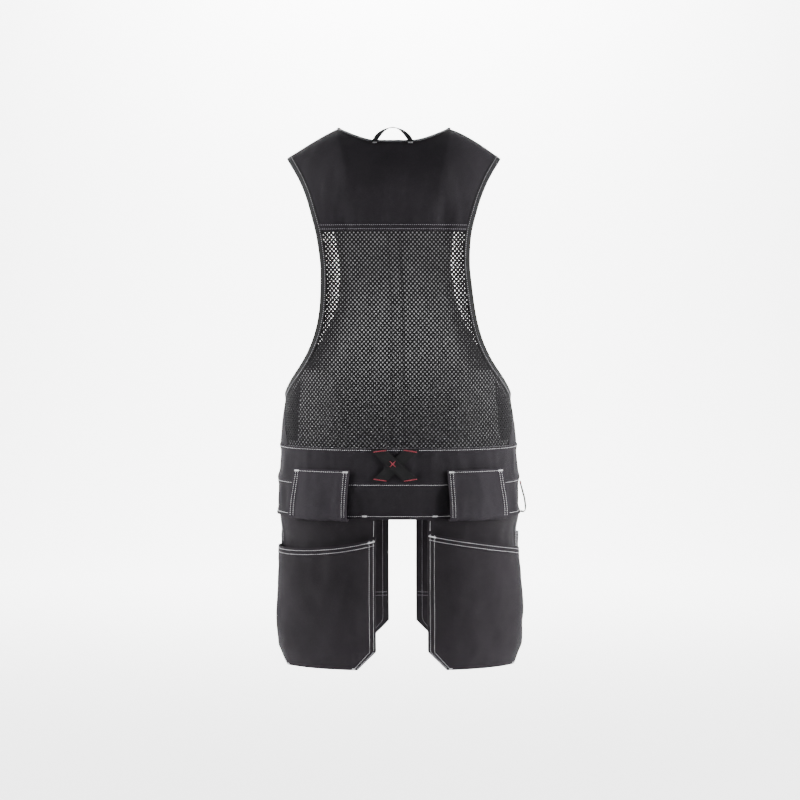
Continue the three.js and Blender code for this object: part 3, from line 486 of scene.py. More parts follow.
class Cloth:
    """One wall of cloth on a grid, with u places across and v places along it."""

    def __init__(self, us, vs, grid, thickness=1.5, lift=0.0):
        self.us = np.asarray(us, float)
        self.vs = np.asarray(vs, float)
        self.normal = facing_out(grid)
        lift = np.broadcast_to(np.asarray(lift, float), grid.shape[:-1])
        self.inner = grid + self.normal * lift[..., None]
        self.outer = self.inner + self.normal * np.broadcast_to(thickness, lift.shape)[..., None]

    def path(self, u, v, back=False):
        """Points and normals of the outer face along places u and v."""
        u, v = np.broadcast_arrays(np.asarray(u, float), np.asarray(v, float))
        i = np.interp(u, self.us, np.arange(len(self.us)))
        j = np.interp(v, self.vs, np.arange(len(self.vs)))
        i0 = np.clip(i.astype(int), 0, len(self.us) - 2)
        j0 = np.clip(j.astype(int), 0, len(self.vs) - 2)
        a, b = (i - i0)[..., None], (j - j0)[..., None]

        def mix(field):
            low = field[j0, i0] * (1 - a) + field[j0, i0 + 1] * a
            high = field[j0 + 1, i0] * (1 - a) + field[j0 + 1, i0 + 1] * a
            return low * (1 - b) + high * b

        normal = unit(mix(self.normal))
        return (mix(self.inner), -normal) if back else (mix(self.outer), normal)

    def cut(self):
        """Width, length and area of the flat cut, in metres."""
        width = np.linalg.norm(np.diff(self.outer, axis=1), axis=-1).sum(1).max() * MM
        length = np.linalg.norm(np.diff(self.outer, axis=0), axis=-1).sum(0).max() * MM
        a = self.outer[1:, 1:] - self.outer[:-1, :-1]
        b = self.outer[1:, :-1] - self.outer[:-1, 1:]
        area = np.linalg.norm(np.cross(a, b), axis=-1).sum() / 2 * MM * MM
        return width, length, area

    def build(self, name, finish, node, slot="canvas", wrong_side=None, held="hung", rests_on=()):
        """The wall as a closed mesh."""
        rows, columns = self.outer.shape[:2]
        half = rows * columns
        at = np.arange(half).reshape(rows, columns)
        corner = [at[:-1, :-1], at[:-1, 1:], at[1:, 1:], at[1:, :-1]]
        skin = np.stack([part.ravel() for part in corner], -1)
        faces = [tuple(face) for face in skin.tolist()]
        faces += [tuple(reversed(face)) for face in (skin + half).tolist()]
        rim = [*at[0], *at[1:, -1], *at[-1, :-1][::-1], *at[1:-1, 0][::-1]]
        for a, b in zip(rim, rim[1:] + rim[:1]):
            faces.append((int(b), int(a), int(a) + half, int(b) + half))
        points = np.concatenate([self.outer.reshape(-1, 3), self.inner.reshape(-1, 3)])
        skin_faces = len(skin)
        outward = np.cross(points[skin[:, 1]] - points[skin[:, 0]], points[skin[:, 3]] - points[skin[:, 0]])
        if np.sum(outward * self.normal[:-1, :-1].reshape(-1, 3)) < 0:
            faces = [tuple(reversed(face)) for face in faces]
        finishes = [finish] + ([wrong_side] if wrong_side else [])
        finish_of = [0] * len(faces)
        if wrong_side:
            finish_of[skin_faces : 2 * skin_faces] = [1] * skin_faces
        piece = make_piece(name, points, faces, finishes, node, finish_of)
        width, length, area = self.cut()
        width = max(width, LEAST_FLAT)
        area = min(area, width * length)
        return piece


class Thread:
    """Stitches and bar tacks of one colour on one group of pieces."""

    def __init__(self, sizes):
        self.sizes = sizes
        self.points = []
        self.faces = []

    def stitch(self, start, end, normal, width, height):
        along = end - start
        across = np.cross(along, normal)
        across /= np.linalg.norm(across) + 1e-12
        base = len(self.points)
        self.points += [start - normal * 0.25, end - normal * 0.25]
        for share in (0.2, 0.8):
            middle = start + along * share
            for side, lift in ((0.5, -0.15), (0.32, height), (-0.32, height), (-0.5, -0.15)):
                self.points.append(middle + across * side * width + normal * lift)
        a, b = base + 2, base + 6
        for k in range(4):
            n = (k + 1) % 4
            self.faces.append((base, a + n, a + k))
            self.faces.append((a + k, a + n, b + n, b + k))
            self.faces.append((base + 1, b + k, b + n))

    def run(self, path, closed=False):
        """A line of stitches along points with normals."""
        points, normals = (np.asarray(part, float).reshape(-1, 3) for part in path)
        if closed:
            points, normals = np.vstack([points, points[:1]]), np.vstack([normals, normals[:1]])
        lengths = np.concatenate([[0], np.cumsum(np.linalg.norm(np.diff(points, axis=0), axis=1))])
        pitch, length = self.sizes.stitch_pitch, self.sizes.stitch_length
        count = int((lengths[-1] - length) / pitch)
        for i in range(max(0, count) + 1):
            ends = []
            for place in (i * pitch, i * pitch + length):
                ends.append(np.array([np.interp(place, lengths, points[:, k]) for k in range(3)]))
            middle = i * pitch + length / 2
            normal = np.array([np.interp(middle, lengths, normals[:, k]) for k in range(3)])
            normal /= np.linalg.norm(normal)
            self.stitch(*ends, normal, self.sizes.thread_width, self.sizes.thread_height)

    def tack(self, path, width=3.6):
        """A bar tack: close threads laid across the line from the path's first point to its last."""
        points, normals = (np.asarray(part, float).reshape(-1, 3) for part in path)
        start, end, normal = points[0], points[-1], normals[0]
        along = end - start
        length = np.linalg.norm(along)
        across = np.cross(normal, along / length)
        count = max(3, round(length / 0.75))
        for i in range(count):
            middle = start + along * (i + 0.5) / count + normal * 0.25
            lean = along / length * 0.5
            reach = across * width / 2
            self.stitch(middle - reach - lean, middle + reach + lean, normal, 0.85, 0.55)
        for side in (-0.28, 0.28):
            self.stitch(start + across * side * width, end + across * side * width, normal, 1.0, 0.2)

    def build(self, name, finish, slot="canvas"):
        if self.points:
            make_piece(name, self.points, self.faces, [finish], ())


class Value:
    """A shader value: arithmetic on it adds Math nodes."""

    def __init__(self, finish, socket):
        self.finish = finish
        self.socket = socket

    def maths(self, operation, first, second=0.0):
        return self.finish.node("ShaderNodeMath", {"operation": operation}, {0: first, 1: second})

    def __add__(self, other):
        return self.maths("ADD", self, other)

    def __mul__(self, other):
        return self.maths("MULTIPLY", self, other)

    def __sub__(self, other):
        return self.maths("SUBTRACT", self, other)

    def __rsub__(self, other):
        return self.maths("SUBTRACT", other, self)

    __radd__ = __add__

    def sine(self):
        return self.maths("SINE", self)

    def held(self):
        return self.finish.node("ShaderNodeClamp", {}, {"Value": self})


class Finish:
    """One material, with the object's own coordinates and a single way to add a node."""

    def __init__(self, name):
        self.material = bpy.data.materials.new(name)
        self.material.use_nodes = True
        self.tree = self.material.node_tree
        self.shader = self.tree.nodes["Principled BSDF"]
        self.place = self.node("ShaderNodeTexCoord", out="Object")
        split = self.tree.nodes.new("ShaderNodeSeparateXYZ")
        self.tree.links.new(self.place.socket, split.inputs[0])
        self.axes = [Value(self, socket) for socket in split.outputs]

    def node(self, kind, settings=None, inputs=None, out=0):
        node = self.tree.nodes.new(kind)
        for key, value in (settings or {}).items():
            setattr(node, key, value)
        self.feed(node, inputs or {})
        return Value(self, node.outputs[out])

    def feed(self, node, inputs):
        for key, value in inputs.items():
            socket = node.inputs[key]
            if isinstance(value, Value):
                self.tree.links.new(value.socket, socket)
            else:
                socket.default_value = value

    def grain(self, scale, detail=3.0, rough=0.5):
        inputs = {"Vector": self.place, "Scale": scale, "Detail": detail, "Roughness": rough}
        return self.node("ShaderNodeTexNoise", {}, inputs)

    def blend(self, share, first, second):
        inputs = {"Factor": share, 6: first, 7: second}
        return self.node("ShaderNodeMix", {"data_type": "RGBA"}, inputs, out=2)

    def tones(self, share, colour, dark, pale):
        return self.blend(share, shade(colour, dark), shade(colour, pale))

    def gloss(self, specular, sheen=0.0):
        self.feed(self.shader, {"Sheen Weight": sheen, "Specular IOR Level": specular})

    def surface(self, colour, roughness, height=None, strength=0.3, depth=0.0004):
        self.feed(self.shader, {"Base Color": colour, "Roughness": roughness})
        if height is not None:
            bump = {"Height": height, "Strength": strength, "Distance": depth}
            self.feed(self.shader, {"Normal": self.node("ShaderNodeBump", {}, bump)})
        return self.material


def shade(colour, factor=1.0):
    return tuple(min(1.0, part * factor) for part in colour[:3]) + (1.0,)


def canvas_finish(name, colour, weave_pitch, wear=1.0):
    """Matt woven cloth: crossed yarns, faint cloudy shade, paler rubbed yarns."""
    finish = Finish(name)
    x, y, z = finish.axes
    turns = 2 * math.pi / (weave_pitch * MM)
    cross = ((x + y) * turns).sine() * (z * turns).sine()
    cloud = finish.grain(9.0, 4.0)
    fleck = finish.grain(620.0, 2.0, 0.6)
    rubbed = (cloud - 0.42) * 1.6 * wear + (fleck - 0.5) * 0.9 + cross * 0.1
    colours = finish.tones((rubbed + 0.45).held(), colour, 0.72, 1.4)
    finish.gloss(0.1)
    height = cross * 0.5 + fleck * 0.6
    return finish.surface(colours, (0.72 + (cloud - 0.5) * 0.25).held(), height, 0.55, 0.00035)


def net_finish(colour):
    """Knitted polyester net: fine ribs along the strands and a slight gloss."""
    finish = Finish("net_yarn")
    x, _, z = finish.axes
    turns = 5200
    ribs = ((x + z) * turns).sine() * ((x - z) * turns).sine()
    cloud = finish.grain(30.0)
    finish.gloss(0.12, 0.01)
    colours = finish.tones(cloud, colour, 0.7, 1.35)
    return finish.surface(colours, (0.5 + cloud * 0.2).held(), ribs, 0.5, 0.0003)


def ribbed_finish(name, colour, rib_pitch, rough=0.62):
    """Woven tape: ribs across it, close and even, with a soft shine on the yarns."""
    finish = Finish(name)
    x, y, z = finish.axes
    turns = 2 * math.pi / (rib_pitch * MM)
    ribs = ((x + y + z * 0.8) * turns).sine() * ((x + y - z * 0.8) * turns).sine()
    cloud = finish.grain(40.0)
    fleck = finish.grain(900.0, 2.0)
    colours = finish.tones((cloud * 0.6 + fleck * 0.4).held(), colour, 0.65, 1.45)
    finish.gloss(0.2, 0.02)
    height = ribs * 0.6 + fleck * 0.5
    return finish.surface(colours, (rough + (fleck - 0.5) * 0.2).held(), height, 0.5, 0.0003)


def wrong_side_finish(colour):
    """Pale backing of the coated front cloth, with painted shade: darker above an arc that dips toward the
    sides, standing for the yoke's shadow inside the vest.
    """
    finish = Finish("wrong_side_of_front")
    x, _, z = finish.axes
    middle = x - 0.01
    # painted shadow: this factor is near 0 above an arc that dips toward the sides and rises below it, so the
    # backing is 0.45 times as pale up there, standing for the yoke's shadow
    low = (0.3 - (z + 0.25 + middle * middle * 4.1) * 9).held()
    cloud = finish.grain(14.0)
    colours = finish.tones((low * 0.85 + (cloud - 0.5) * 0.3).held(), colour, 0.45, 1.0)
    return finish.surface(colours, 0.85, finish.grain(700.0, 2.0), 0.3, 0.0003)


def thread_finish(name, colour):
    """Twisted thread with a slight shine."""
    finish = Finish(name)
    x, y, z = finish.axes
    twist = ((x + y + z) * 7000).sine()
    fleck = finish.grain(400.0, 2.0)
    colours = finish.tones((fleck * 0.8 + twist * 0.12).held(), colour, 0.78, 1.08)
    finish.gloss(0.45, 0.2)
    return finish.surface(colours, 0.55, twist, 0.4, 0.0002)


def floor_finish(colour):
    """Pale floor that glows of itself only behind the vest."""
    finish = Finish("pale_floor")
    y = finish.axes[1]
    colours = finish.tones(finish.grain(0.8, 2.0), colour, 0.99, 1.0)
    glow = finish.blend(((y - 0.4) * 2.2).held(), (0.0, 0.0, 0.0, 1.0), shade(colour))
    finish.feed(finish.shader, {"Emission Color": glow, "Emission Strength": 1.9})
    return finish.surface(colours, 0.9)


FINISHES = {}


def finish_named(name):
    """The materials of the vest, made once from the colours of the panel."""
    if not FINISHES:
        colours = bpy.context.scene.vest_colours
        FINISHES.update(
            canvas=canvas_finish("black_canvas", colours.canvas, 1.15),
            band=canvas_finish("waistband_canvas", colours.band, 1.15),
            # painted light: the hammer loops wear a copy of the waistband cloth painted 1.5 times paler, so
            # they read brighter lit than the band
            loop=canvas_finish("loop_canvas_painted_light", shade(colours.band, 1.5), 1.15),
            pocket=canvas_finish("holster_canvas", colours.pocket, 1.25, 1.2),
            net=net_finish(colours.net),
            tape=ribbed_finish("binding_tape", colours.tape, 1.0, 0.6),
            webbing=ribbed_finish("black_webbing", colours.webbing, 1.6, 0.55),
            zip=ribbed_finish("zip_tape", colours.zip_tape, 1.2),
            wrong=wrong_side_finish(colours.wrong_side),
            white=thread_finish("white_thread", colours.white_thread),
            soft=thread_finish("soft_thread", colours.soft_thread),
            grey=thread_finish("grey_thread", colours.grey_thread),
            red=thread_finish("red_thread", colours.red_thread),
        )
    return FINISHES[name]


def wrinkled(grid, depth, size=42.0, seed=3.1, drop=1.0):
    """Loose unevenness of worn cloth; a drop below 1 draws the swells out into hanging folds."""
    hung = grid * np.array([1.0, 1.0, drop])
    return depth * (cloth_noise(hung, size, seed) + 0.45 * cloth_noise(hung, size * 0.36, seed + 7))


def sunk(lift):
    """The same unevenness with its highest place level with the surface, clear of what lies on it."""
    return lift - lift.max()


def puckered(grid, near, depth=0.5, size=8.0, seed=11.0):
    """Unevenness close to a seam, where near runs from 1 on the seam to 0 away from it."""
    return depth * near * cloth_noise(grid, size, seed)


def amount(name, description, default, least=0, **more):
    return FloatProperty(name=name, description=description, default=default, min=least, **more)


def swatch(name, description, colour):
    return FloatVectorProperty(
        name=name, description=description, subtype="COLOR", default=colour, min=0, max=1
    )


class VestSizes(bpy.types.PropertyGroup):
    """Sizes of thread, net and cloth relief, in millimetres"""

    stitch_pitch: amount("Stitch pitch", "From stitch to stitch, mm", 3.7, 1)
    stitch_length: amount("Stitch length", "Length of a stitch, mm", 2.9, 0.5)
    thread_width: amount("Thread width", "Width of a stitch, mm", 0.85, 0.2)
    thread_height: amount("Thread height", "Stitch above cloth, mm", 0.35)
    net_across: amount("Net pitch across", "Between holes across, mm", 7.6, 3)
    net_along: amount("Net pitch along", "Between holes along, mm", 8.4, 3)
    net_open: amount("Net opening", "Open share of a net cell", 0.33, 0.1, max=0.9)
    wrinkles: amount("Wrinkles", "Depth of loose unevenness, mm", 1.1)
    hem_fold: amount("Hem fold", "Extra thickness of folded hems, mm", 0.8)


class VestColours(bpy.types.PropertyGroup):
    """Base colours of the finishes"""

    canvas: swatch("Canvas", "Yoke and panels", (0.0135, 0.0118, 0.0145))
    band: swatch("Waistband", "Waistband cloth", (0.015, 0.0132, 0.016))
    pocket: swatch("Holsters", "Holster cloth", (0.014, 0.012, 0.0145))
    net: swatch("Net", "Net yarn", (0.005, 0.0045, 0.0055))
    tape: swatch("Tape", "Binding tape", (0.006, 0.0058, 0.0065))
    webbing: swatch("Webbing", "Straps and loops", (0.005, 0.0047, 0.0055))
    zip_tape: swatch("Zip tape", "Tape of the zip", (0.005, 0.0047, 0.0055))
    wrong_side: swatch("Wrong side", "Backing of the front", (0.42, 0.42, 0.43))
    white_thread: swatch("White thread", "Top stitching", (0.78, 0.78, 0.8))
    soft_thread: swatch("Soft thread", "Yoke and armholes", (0.3, 0.29, 0.32))
    grey_thread: swatch("Grey thread", "Neck binding stitches", (0.2, 0.2, 0.21))
    red_thread: swatch("Red thread", "Bar tacks of straps", (0.27, 0.01, 0.028))
    floor: swatch("Floor", "Floor and backdrop", (0.9, 0.9, 0.9))


class StageSettings(bpy.types.PropertyGroup):
    """Camera and lights"""

    focal: amount("Focal length", "Lens, mm", 96.3, 20, max=300)
    side_light: amount("Side lights", "Power of each side light", 172.0, unit="POWER")
    top_light: amount("Top light", "Power of the top light", 7.0, unit="POWER")
    backdrop: amount("Backdrop light", "Power of the light on the backdrop", 900.0, unit="POWER")
    surround: amount("Surround", "Strength of the pale surround", 0.05)


class VEST_OT_yoke(bpy.types.Operator):
    """Canvas yoke over the shoulders, top stitched above the net"""

    bl_idname = "vest.yoke"
    bl_label = "Yoke"

    def execute(self, context):
        sizes = context.scene.vest_sizes
        lines = (3.4, 10.7)
        low = stops(0, YOKE_HEM, 3, lines)
        shares = np.linspace(0, 1, 44)[1:]
        vs = np.concatenate([low, YOKE_HEM + YOKE_SPAN * shares])
        us = np.linspace(-1, 1, 121)
        top = yoke_surface(us, 1.0)[:, 2] - YOKE_SEAM_Z
        near = 2 / math.pi * np.arcsin(np.clip(YOKE_HEM / top, 0, 1))
        rises = []
        for v in vs:
            on_hem = 2 / math.pi * np.arcsin(min(v, YOKE_HEM) / top)
            rises.append(on_hem if v <= YOKE_HEM else near + (1 - near) * (v - YOKE_HEM) / YOKE_SPAN)
        grid = yoke_surface(us[None, :], np.array(rises))
        fade = np.clip(vs / 30, 0.25, 1)[:, None] * np.clip((YOKE_HEM + YOKE_SPAN - vs) / 18, 0, 1)[:, None]
        edge = np.clip((1 - np.abs(us)) * 12, 0, 1)[None, :]
        near_seam = np.exp(-((vs / 16) ** 2))[:, None] * edge
        lift = wrinkled(grid, sizes.wrinkles * 1.3, 60, 3.1, 0.5) * fade * edge
        hanging = np.exp(-(((vs - 22) / 34) ** 2))[:, None] * edge
        lift = lift + wrinkled(grid, 1.6, 22, 15.0, 0.16) * hanging + puckered(grid, near_seam, 0.7, 9.0)
        lift = lift + pulled(vs, lines)[:, None]
        hem = np.where(vs < 14.5, sizes.hem_fold, 0)[:, None]
        cloth = Cloth(us, vs, grid, 1.5 + hem, lift)
        cloth.build("yoke_cloth", finish_named("canvas"), ["back_yoke"])
        thread = Thread(sizes)
        for line in lines:
            thread.run(cloth.path(np.linspace(-0.995, 0.995, 160), line))
        thread.build("yoke_stitches", finish_named("soft"))
        return {"FINISHED"}


class VEST_OT_net(bpy.types.Operator):
    """Net back: staggered six-sided holes between rounded strands"""

    bl_idname = "vest.net"
    bl_label = "Net back"

    def execute(self, context):
        sizes = context.scene.vest_sizes
        low, high = BAND_TOP_Z + 0.4, YOKE_SEAM_Z + 1.0
        rows = round((high - low) / (sizes.net_along / 2))
        flat, faces = self.lattice(sizes, low, rows, (high - low) / rows)
        outer, inner = self.worn(flat, low, high)
        count = len(flat)
        back = [tuple(part + count for part in reversed(face)) for face in faces]
        sides = dict.fromkeys(pair for face in faces for pair in zip(face, face[1:] + face[:1]))
        walls = [(b, a, a + count, b + count) for a, b in sides if (b, a) not in sides]
        piece = make_piece(
            "net_cloth", np.vstack([outer, inner]), faces + back + walls, [finish_named("net")],
            ["back_net"], None, 70,
        )
        area = sum(polygon.area for polygon in piece.data.polygons) / 2
        grid = net_surface(np.linspace(-1, 1, 60)[None, :], np.linspace(0, 1, 60)[:, None])
        width, length, _ = Cloth(np.arange(60), np.arange(60), grid).cut()
        area = min(area, width * length)
        return {"FINISHED"}

    def cells(self, across, low, rows, step):
        """Each cell's row, column, middle and height, with the hole's shrinkage beside the armholes."""
        for row in range(rows + 1):
            z = low + step * row
            ring, lengths = walk(z)
            edge = float(np.interp(net_edge_turn(z), ring, lengths)) + 2
            count = int(edge / across) + 2
            shift = 0.5 if row % 2 else 0.0
            most = NET_CLOSING if z > NET_CLOSING_Z else NET_CLOSING_BELOW
            for column in range(-count, count + 1):
                middle = (column + shift) * across
                if abs(middle) < edge + across * 0.45:
                    beside = min(1.0, max(0.0, (abs(middle) / edge - 0.66) * 4))
                    yield row, column, middle, z, 1 - most * beside

    def lattice(self, sizes, low, rows, step):
        """Places across, up and out along the strands, and the faces between them."""
        across, share = sizes.net_across, sizes.net_open
        reach_u, reach_v = across / 2, step
        corners = ((-reach_u, 0), (0, -reach_v), (reach_u, 0), (0, reach_v))
        hole = (
            (-reach_u * share, -reach_v * 0.28),
            (0, -reach_v * share * 1.05),
            (reach_u * share, -reach_v * 0.28),
            (reach_u * share, reach_v * 0.28),
            (0, reach_v * share * 1.05),
            (-reach_u * share, reach_v * 0.28),
        )
        places, faces, index = [], [], {}

        def corner_at(row, middle, z, offset):
            key = (round((middle + offset[0]) / (across / 2)), row + round(offset[1] / step))
            if key not in index:
                index[key] = len(places)
                places.append((middle + offset[0], z + offset[1], STRAND_RISE))
            return index[key]

        for row, column, middle, z, closing in self.cells(across, low, rows, step):
            w, s, e, n = (corner_at(row, middle, z, offset) for offset in corners)
            base = len(places)
            uneven = noise.noise(Vector((column * 0.61, row * 0.43, 2.7)))
            grow = (1 + 0.12 * uneven) * closing
            for du, dv in hole:
                places.append((middle + du * grow, z + dv * grow, 0.0))
            r = [base + k for k in range(6)]
            faces += [
                (w, r[0], r[5]), (w, s, r[1], r[0]), (s, e, r[2], r[1]),
                (e, r[3], r[2]), (e, n, r[4], r[3]), (n, w, r[5], r[4]),
            ]
        return np.array(places), faces

    def worn(self, flat, low, high):
        """The lattice laid on the worn form: its outer and its inner points."""
        z = np.clip(flat[:, 1], low, high)
        levels = np.round(z, 1)
        turns = np.empty(len(z))
        for level in np.unique(levels):
            pick = levels == level
            ring, lengths = walk(level)
            limit = float(np.interp(net_edge_turn(level), ring, lengths)) + 1.2
            held = np.clip(flat[pick, 0], -limit, limit)
            turns[pick] = np.sign(held) * np.interp(np.abs(held), lengths, ring)
        points = form_point(turns, z)
        beside, above = form_point(turns + 0.01, z), form_point(turns, z + 0.4)
        normal = unit(np.cross(beside - points, above - points))
        slack = np.array([noise.noise(Vector(point / 45)) for point in points])[:, None] * 1.2
        rise = flat[:, 2:]
        return points + normal * (slack + 0.85 + rise), points + normal * (slack + 0.15 - rise * 0.3)


class VEST_OT_panels(bpy.types.Operator):
    """Front panels with their pale wrong side, and the side panels below the armholes"""

    bl_idname = "vest.panels"
    bl_label = "Front and side panels"

    def execute(self, context):
        sizes = context.scene.vest_sizes
        thread = Thread(sizes)
        for name, side in (("left", -1), ("right", 1)):
            us = np.linspace(0, 1, 47)
            vs = np.concatenate([np.linspace(0, 1, 56), 1 + np.linspace(0, 1, 40)[1:]])
            grid = front_surface(side, us[None, :], vs[:, None])
            edge = (np.clip(us * 10, 0, 1) * np.clip((1 - us) * 10, 0, 1))[None, :]
            fade = (np.clip(vs * 10, 0.1, 1) * np.clip((2 - vs) * 5, 0, 1))[:, None]
            lift = wrinkled(grid, sizes.wrinkles * 1.4, 60, 5.0 + side) * edge * fade
            cloth = Cloth(us, vs, grid, 1.5, lift)
            cloth.build(
                f"front_cloth_{name}", finish_named("canvas"), [f"front_panel_{name}"],
                wrong_side=finish_named("wrong"),
            )
            for line in (0.045, 0.09):
                thread.run(cloth.path(line, np.linspace(0.01, 1.93, 200)))
            us = np.linspace(0, 1, 31)
            vs = np.linspace(0, 1, 26)
            grid = side_surface(side, us[None, :], vs[:, None])
            lift = wrinkled(grid, 0.8, 30, 9.0) * np.clip(us * (1 - us) * 12, 0, 1)[None, :]
            beside = Cloth(us, vs, grid, 1.5, lift)
            beside.build(f"side_cloth_{name}", finish_named("canvas"), [f"side_panel_{name}"])
            thread.run(beside.path(0.93, np.linspace(0.02, 0.97, 60)))
        thread.build("front_stitches", finish_named("white"))
        return {"FINISHED"}


def band_cloth(bottom, top, lines, sizes, seed):
    """One tier of the waistband, and the distance round to its end at the zip."""
    _, lengths = walk((bottom + top) / 2)
    end = lengths[-1] - ZIP_HALF - SEAM_GAP
    us = stops(-end, end, 5.0)
    vs = stops(bottom, top, 5.0, lines)
    grid = round_form(us[None, :], vs[:, None])
    near = np.minimum(np.abs(vs - bottom), np.abs(top - vs))
    seam = np.exp(-((near / 9) ** 2))[:, None]
    folds = sunk(wrinkled(grid, sizes.wrinkles * 3.2, 25, seed, 0.2))
    lift = folds * (1 - seam) + puckered(grid, seam, 0.9, 9.0, seed)
    lift = lift + pulled(vs, lines)[:, None]
    hem = np.where(near < 8.5, sizes.hem_fold * 0.6, 0)[:, None]
    return Cloth(us, vs, grid, BAND_THICKNESS + hem, lift), end


class VEST_OT_waistband(bpy.types.Operator):
    """Double waistband of two tiers with top stitching"""

    bl_idname = "vest.waistband"
    bl_label = "Waistband"

    def execute(self, context):
        sizes = context.scene.vest_sizes
        thread = Thread(sizes)
        upper_lines = (BAND_TOP_Z - 3.6,)
        lower_lines = (HEM_Z + 5.8, BAND_MIDDLE_Z - 4.6)
        for name, bottom, top, lines, seed in (
            ("upper", BAND_MIDDLE_Z + 0.1, BAND_TOP_Z, upper_lines, 21.0),
            ("lower", HEM_Z, BAND_MIDDLE_Z, lower_lines, 23.0),
        ):
            cloth, end = band_cloth(bottom, top, lines, sizes, seed)
            cloth.build(
                f"waistband_{name}_cloth", finish_named("band"), [f"waistband_{name}"],
                wrong_side=finish_named("wrong"),
            )
            for line in lines:
                thread.run(cloth.path(np.linspace(-end + 3, end - 3, 420), line))
            if name == "lower":
                for place in HEM_TACKS:
                    thread.tack(cloth.path([place - 4.5, place + 4.5], [HEM_Z + 6, HEM_Z + 6]), 3.4)
        thread.build("waistband_stitches", finish_named("white"))
        return {"FINISHED"}


def off_band(distance, z, lift):
    """Points that stand off the waistband's outer face."""
    distance, z, lift = np.broadcast_arrays(*(np.asarray(part, float) for part in (distance, z, lift)))
    points = round_form(distance, z)
    turn = turn_at(distance, z)
    normal = unit(np.cross(form_point(turn + 0.004, z) - points, form_point(turn, z + 0.5) - points))
    return points + normal * (BAND_THICKNESS + LAYER_GAP + lift)[..., None]


class VEST_OT_straps(bpy.types.Operator):
    """Crossed webbing on the upper waistband, held by red bar tacks"""

    bl_idname = "vest.straps"
    bl_label = "Crossed webbing"

    def execute(self, context):
        sizes = context.scene.vest_sizes
        red = Thread(sizes)
        low, high = BAND_MIDDLE_Z + 2, BAND_TOP_Z - 2
        for name, slope, lift in (("rising", 1, 0.0), ("falling", -1, 1.7)):
            us = np.linspace(-1, 1, 17)
            vs = np.linspace(0, 1, 40)
            z = (low + (high - low) * vs)[:, None] + 0 * us[None, :]
            middle = STRAP_CENTRE + slope * (vs - 0.5)[:, None] * STRAP_LEAN
            grid = off_band(middle + us[None, :] * STRAP_HALF, z, lift)
            selvedge = 0.35 * np.exp(-((np.abs(us) - 0.9) / 0.08) ** 2)[None, :]
            cloth = Cloth(us, vs, grid, 1.3 + selvedge, 0.0)
            cloth.build(
                f"cross_strap_{name}_webbing", finish_named("webbing"), [f"cross_strap_{name}"], "webbing",
                held="laid", rests_on=["waistband_upper"],
            )
            for end in (0.05, 0.95):
                red.tack(cloth.path([-0.93, 0.93], [end + slope * 0.03, end - slope * 0.03]), 1.9)
        for turn in (-1, 1):
            ends = off_band(np.array(CROSSING_TACK), (low + high) / 2 + 3 + turn * np.array([-5.0, 5.0]), 3.7)
            red.tack((ends, np.array([[-0.03, -1.0, 0.05]] * 2)), 1.5)
        red.build("strap_tacks", finish_named("red"), "webbing")
        return {"FINISHED"}


class VEST_OT_hammer_loops(bpy.types.Operator):
    """Broad loops that stand off the waistband"""

    bl_idname = "vest.hammer_loops"
    bl_label = "Hammer loops"

    def execute(self, context):
        sizes = context.scene.vest_sizes
        thread = Thread(sizes)
        for name, side in (("left", -1), ("right", 1)):
            inner, outer = LOOP_CENTRE - LOOP_WIDTH / 2, LOOP_CENTRE + LOOP_WIDTH / 2
            lines = (inner + 5, inner + 10.5, outer - 10.5, outer - 5)
            us = stops(inner, outer, 4.0, lines)
            along = [np.linspace(0, 0.8, 30), np.linspace(0.8, 1.0, 14), [0.035, 0.045, 0.06]]
            along = np.unique(np.concatenate(along))
            down, out = (np.interp(along, *column) for column in PROFILE_COLUMNS)
            z = HEM_Z + LOOP_HEIGHT * (1 - down)
            splay = 1 + 0.035 * down[:, None] * (us[None, :] - LOOP_CENTRE) / LOOP_WIDTH * 2
            bow = 1 + 0.5 * np.sin(np.pi * (us - inner) / (outer - inner))[None, :] * out[:, None] * 0.25
            distance = side * (LOOP_CENTRE + (us[None, :] - LOOP_CENTRE) * splay)
            grid = off_band(distance, z[:, None] + 0 * us, out[:, None] * LOOP_STAND_OFF * bow)
            near = np.exp(-((np.minimum(us - inner, outer - us) / 9) ** 2))[None, :]
            loose = wrinkled(grid, 2.0, 30, 33.0 + side, 0.3) * (1 - near)
            lift = puckered(grid, near, 0.7, 9.0, 31.0) + loose
            lift = lift * np.clip(along * 8, 0, 1)[:, None] + pulled(us, lines)[None, :]
            hem = np.where(np.minimum(us - inner, outer - us) < 12.5, 0.7, 0)[None, :]
            cloth = Cloth(us, along, grid, 2.0 + hem, lift)
            # the loops' cloth is the waistband cloth painted paler, as painted light
            cloth.build(
                f"hammer_loop_{name}_cloth", finish_named("loop"), [f"hammer_loop_{name}"],
                rests_on=["waistband_upper"],
            )
            for line in lines:
                thread.run(cloth.path(line, np.linspace(0.03, 0.84, 60)))
            thread.run(cloth.path(np.linspace(inner + 3, outer - 3, 50), 0.045))
            for place in (inner + 7.5, outer - 7.5):
                thread.tack(cloth.path([place - 5, place + 5], [0.045, 0.045]), 3.6)
        thread.build("hammer_loop_stitches", finish_named("white"))
        return {"FINISHED"}


